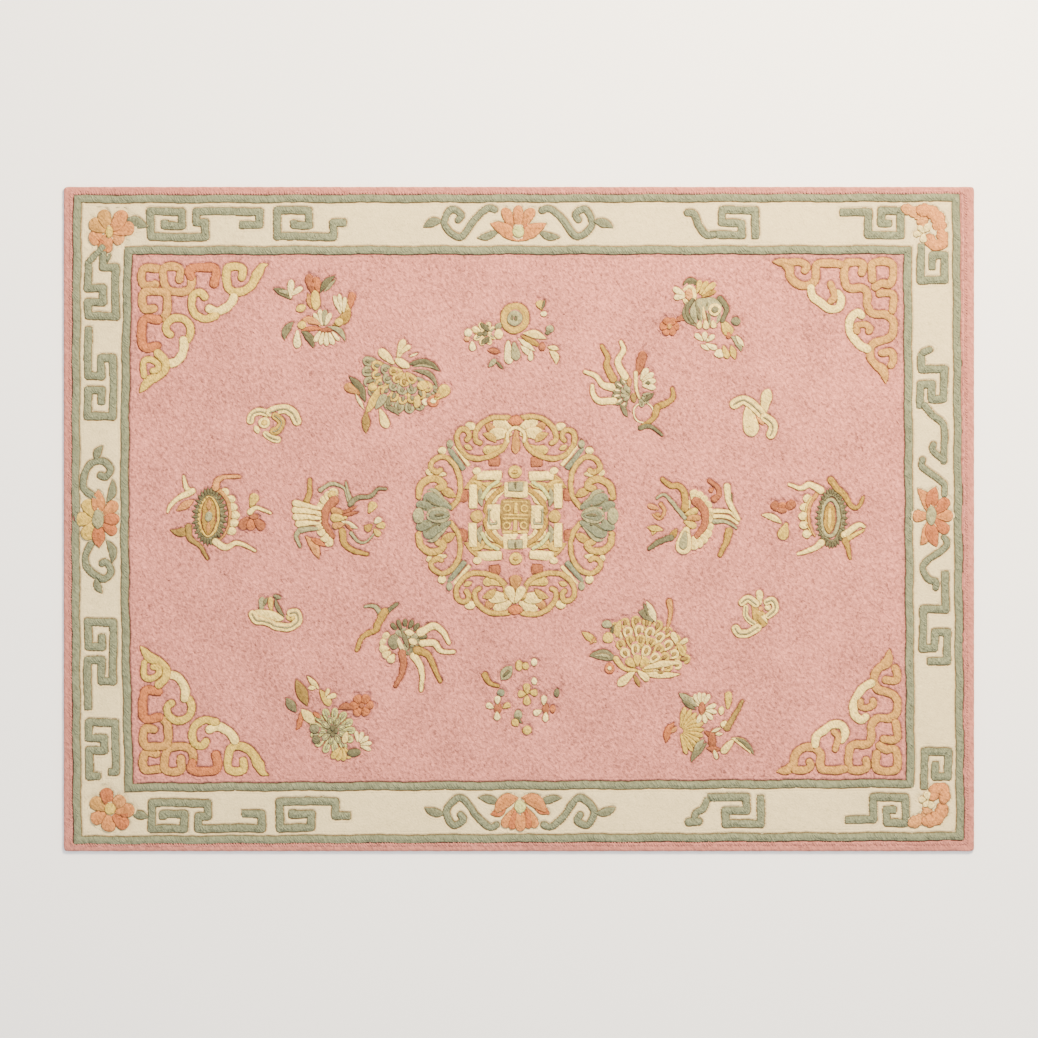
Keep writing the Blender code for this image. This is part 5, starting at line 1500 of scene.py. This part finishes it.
def tuftNodes():
    group = bpy.data.node_groups.new("slanting tufts", "GeometryNodeTree")
    sockets = (("Path", "Geometry"), ("Spacing", "Float"), ("Tuft size", "Vector"), ("Lean", "Float"),
               ("Turn", "Float"), ("Stray", "Float"), ("Seed", "Int"), ("Dye", "Color"), ("Wool", "Material"))
    for name, kind in sockets:
        group.interface.new_socket(name, in_out="INPUT", socket_type="NodeSocket" + kind)
    group.interface.new_socket("Tufts", in_out="OUTPUT", socket_type="NodeSocketGeometry")
    given = group.nodes.new("NodeGroupInput").outputs
    curve = addNode(group, "GeometryNodeMeshToCurve", {"Mesh": given["Path"]}).outputs[0]
    spots = addNode(group, "GeometryNodeCurveToPoints", {"Curve": curve, "Length": given["Spacing"]},
                    mode="LENGTH").outputs[0]
    low = scaleColour(group, (-1, -1, -tufting["sag"]), given["Stray"])
    high = scaleColour(group, (1, 1, tufting["sag"]), given["Stray"])
    offset = addNode(group, "FunctionNodeRandomValue", {0: low, 1: high, "Seed": given["Seed"]},
                     data_type="FLOAT_VECTOR").outputs[0]
    moved = addNode(group, "GeometryNodeSetPosition", {"Geometry": spots, "Offset": offset}).outputs[0]
    less = maths(group, "SUBTRACT", given["Lean"], given["Turn"])
    more = maths(group, "ADD", given["Lean"], given["Turn"])
    turn = addNode(group, "FunctionNodeRandomValue", {2: less, 3: more, "Seed": given["Seed"]},
                   data_type="FLOAT").outputs[1]
    spin = addNode(group, "ShaderNodeCombineXYZ", {2: turn}).outputs[0]
    tuft = addNode(group, "GeometryNodeMeshIcoSphere", {"Radius": 1.0, "Subdivisions": 1}).outputs[0]
    laid = addNode(group, "GeometryNodeInstanceOnPoints", {"Points": moved, "Instance": tuft, "Rotation": spin,
                                                           "Scale": given["Tuft size"]}).outputs[0]
    real = addNode(group, "GeometryNodeRealizeInstances", {"Geometry": laid}).outputs[0]
    dyed = addNode(group, "GeometryNodeStoreNamedAttribute",
                   {"Geometry": real, "Name": "yarn", "Value": given["Dye"]},
                   data_type="FLOAT_COLOR", domain="POINT").outputs[0]
    soft = addNode(group, "GeometryNodeSetShadeSmooth", {0: dyed}).outputs[0]
    woolly = addNode(group, "GeometryNodeSetMaterial", {"Geometry": soft, "Material": given["Wool"]}).outputs[0]
    group.links.new(woolly, group.nodes.new("NodeGroupOutput").inputs[0])
    return group


# Paths of (points, closed) to one piece of single tufts
def tuftRows(name, paths, wool):
    spec, vertices, edges = tufting[name], [], []
    for points, closed in paths:
        first = len(vertices)
        vertices += [(*p, spec["height"]) for p in points]
        edges += [(first + i, first + i + 1) for i in range(len(points) - 1)]
        if closed:
            edges.append((len(vertices) - 1, first))
    mesh = bpy.data.meshes.new(name)
    mesh.from_pydata(vertices, edges, [])
    carrier = bpy.data.objects.new(name, mesh)
    bpy.context.scene.collection.objects.link(carrier)
    group = bpy.data.node_groups.get("slanting tufts") or tuftNodes()
    modifier = carrier.modifiers.new("tufts", "NODES")
    modifier.node_group = group
    given = {"Spacing": spec["spacing"], "Tuft size": spec["size"], "Lean": -math.radians(pile["lean"]),
             "Turn": tufting["turn"], "Stray": tufting["stray"], "Seed": spec["seed"], "Wool": wool,
             "Dye": (*linear(spec["dye"]), 1)}
    for item in group.interface.items_tree:
        if item.name in given:
            modifier[item.identifier] = given[item.name]
    carrier.update_tag()
    seen = carrier.evaluated_get(bpy.context.evaluated_depsgraph_get())
    plain = bpy.data.meshes.new_from_object(seen)
    carrier.modifiers.clear()
    carrier.data = plain
    bpy.data.meshes.remove(mesh)
    return carrier


stripePaths = [(stroke.spots, True) for _, stroke in ordered["stripes"]]
fretPaths = [(stroke.spots, False) for name in ("top", "right", "low", "left")
             for _, stroke in ordered["border_" + name] if stroke.yarn == "sage" and not stroke.vein]
bandPath = [(band[:, edge["tuftLine"]], True)]
pieces += [tuftRows("stripe_tufts", stripePaths, stripeWool), tuftRows("fret_tufts", fretPaths, figureWool),
           tuftRows("band_tufts", bandPath, edgeWool)]
print("single tufts:", [len(p.data.polygons) for p in pieces[-3:]])

# Backing cloth under the pile
backing = {
    "inset": 0.0022,
    "sideSteps": 60,
    "colour": (206, 192, 165),
    "threads": 262.5,  # to a metre
    "weaveShade": (0.05, 0.86),
    "wornShade": 0.22,
    "worn": (9.0, 4.0),
    "roughness": 0.9,
    "bump": (0.4, 0.0005),
}


def backingMaterial():
    material = bpy.data.materials.new("backingCloth")
    material.use_nodes = True
    tree = material.node_tree
    shader = tree.nodes["Principled BSDF"]
    where = addNode(tree, "ShaderNodeTexCoord").outputs["Object"]
    split = addNode(tree, "ShaderNodeSeparateXYZ", {0: where})
    across, along = [maths(tree, "SINE", maths(tree, "MULTIPLY", split.outputs[i], backing["threads"] * 2 * math.pi))
                     for i in (0, 1)]
    weave = maths(tree, "MULTIPLY", across, along)
    value = maths(tree, "MULTIPLY_ADD", weave, *backing["weaveShade"])
    value = maths(tree, "MULTIPLY_ADD", noise(tree, where, *backing["worn"]), backing["wornShade"], value)
    base = addNode(tree, "ShaderNodeRGB").outputs[0]
    base.default_value = (*linear(backing["colour"]), 1)
    tree.links.new(scaleColour(tree, base, value), shader.inputs["Base Color"])
    shader.inputs["Roughness"].default_value = backing["roughness"]
    strength, depth = backing["bump"]
    bump = addNode(tree, "ShaderNodeBump", {"Strength": strength, "Distance": depth, "Height": weave})
    tree.links.new(bump.outputs[0], shader.inputs["Normal"])
    return material


steps = backing["sideSteps"]
ring = [outlineSpot(way, k / steps, backing["inset"]) for way, _ in sideWays.values() for k in range(steps)]
count = len(ring)
vertices = [(*p, 0.0) for p in ring] + [(*p, rug["backingTop"]) for p in ring]
vertices += [(0, 0, 0.0), (0, 0, rug["backingTop"])]
triangles = []
for k in range(count):
    after = (k + 1) % count
    triangles += [(k, after, 2 * count), (count + after, count + k, 2 * count + 1),
                  (after, k, count + k), (after, count + k, count + after)]
backingPiece = newMesh("backing_cloth", vertices, triangles, [backingMaterial()], None, None, None, False)
print("edge and backing made")

for piece in pieces + [backingPiece]:
    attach(piece, "root")
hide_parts("rug")

# Floor, light and camera
studio = {
    "floor": (246, 247, 250),
    "floorRoughness": 0.8,
    "floorReach": 9.0,
    "floorDrop": 0.0005,
    "fill": 1.5,
    "key": {"spot": (2.4, 4.6, 5.2), "power": 2000, "size": 1.9, "colour": (1.0, 0.82, 0.56)},
    "cameraHeight": 14.0,
    "sensor": 36.0,
    "farthest": 60,
}


def studioFloor():
    material = bpy.data.materials.new("paleFloor")
    material.use_nodes = True
    shader = material.node_tree.nodes["Principled BSDF"]
    shader.inputs["Base Color"].default_value = (*linear(studio["floor"]), 1)
    shader.inputs["Roughness"].default_value = studio["floorRoughness"]
    reach, z = studio["floorReach"], -studio["floorDrop"]
    corners = [(-reach, -reach, z), (reach, -reach, z), (reach, reach, z), (-reach, reach, z)]
    floor = newMesh("studio_floor", corners, [(0, 1, 2, 3)], [material])


def studioLamp(name, look):
    data = bpy.data.lights.new(name, "AREA")
    data.energy, data.size, data.color = look["power"], look["size"], look["colour"]
    lamp = bpy.data.objects.new(name, data)
    lamp.location = look["spot"]
    x, y, z = look["spot"]
    lamp.rotation_euler = (math.atan2(math.hypot(x, y), z), 0, math.atan2(x, -y))
    bpy.context.scene.collection.objects.link(lamp)


studioFloor()
world = bpy.data.worlds.new("studio")
world.use_nodes = True
sky = world.node_tree.nodes["Background"]
sky.inputs["Color"].default_value = (1, 1, 1, 1)
sky.inputs["Strength"].default_value = studio["fill"]
bpy.context.scene.world = world
studioLamp("keyLamp", studio["key"])

# Straight above, through a long lens, so that the rug is 911 of the photograph's 1038 across
photo = {"size": 1038, "rugAcross": 911}
frameWidth = rug["length"] * photo["size"] / photo["rugAcross"]
cameraData = bpy.data.cameras.new("camera")
cameraData.sensor_width = studio["sensor"]
cameraData.lens = studio["sensor"] * studio["cameraHeight"] / frameWidth
cameraData.clip_end = studio["farthest"]
camera = bpy.data.objects.new("camera", cameraData)
camera.location = (0, 0, studio["cameraHeight"] + rug["pileTop"])
bpy.context.scene.collection.objects.link(camera)
bpy.context.scene.camera = camera

print("triangles:", sum(sum(len(f.vertices) - 2 for f in p.data.polygons) for p in pieces))
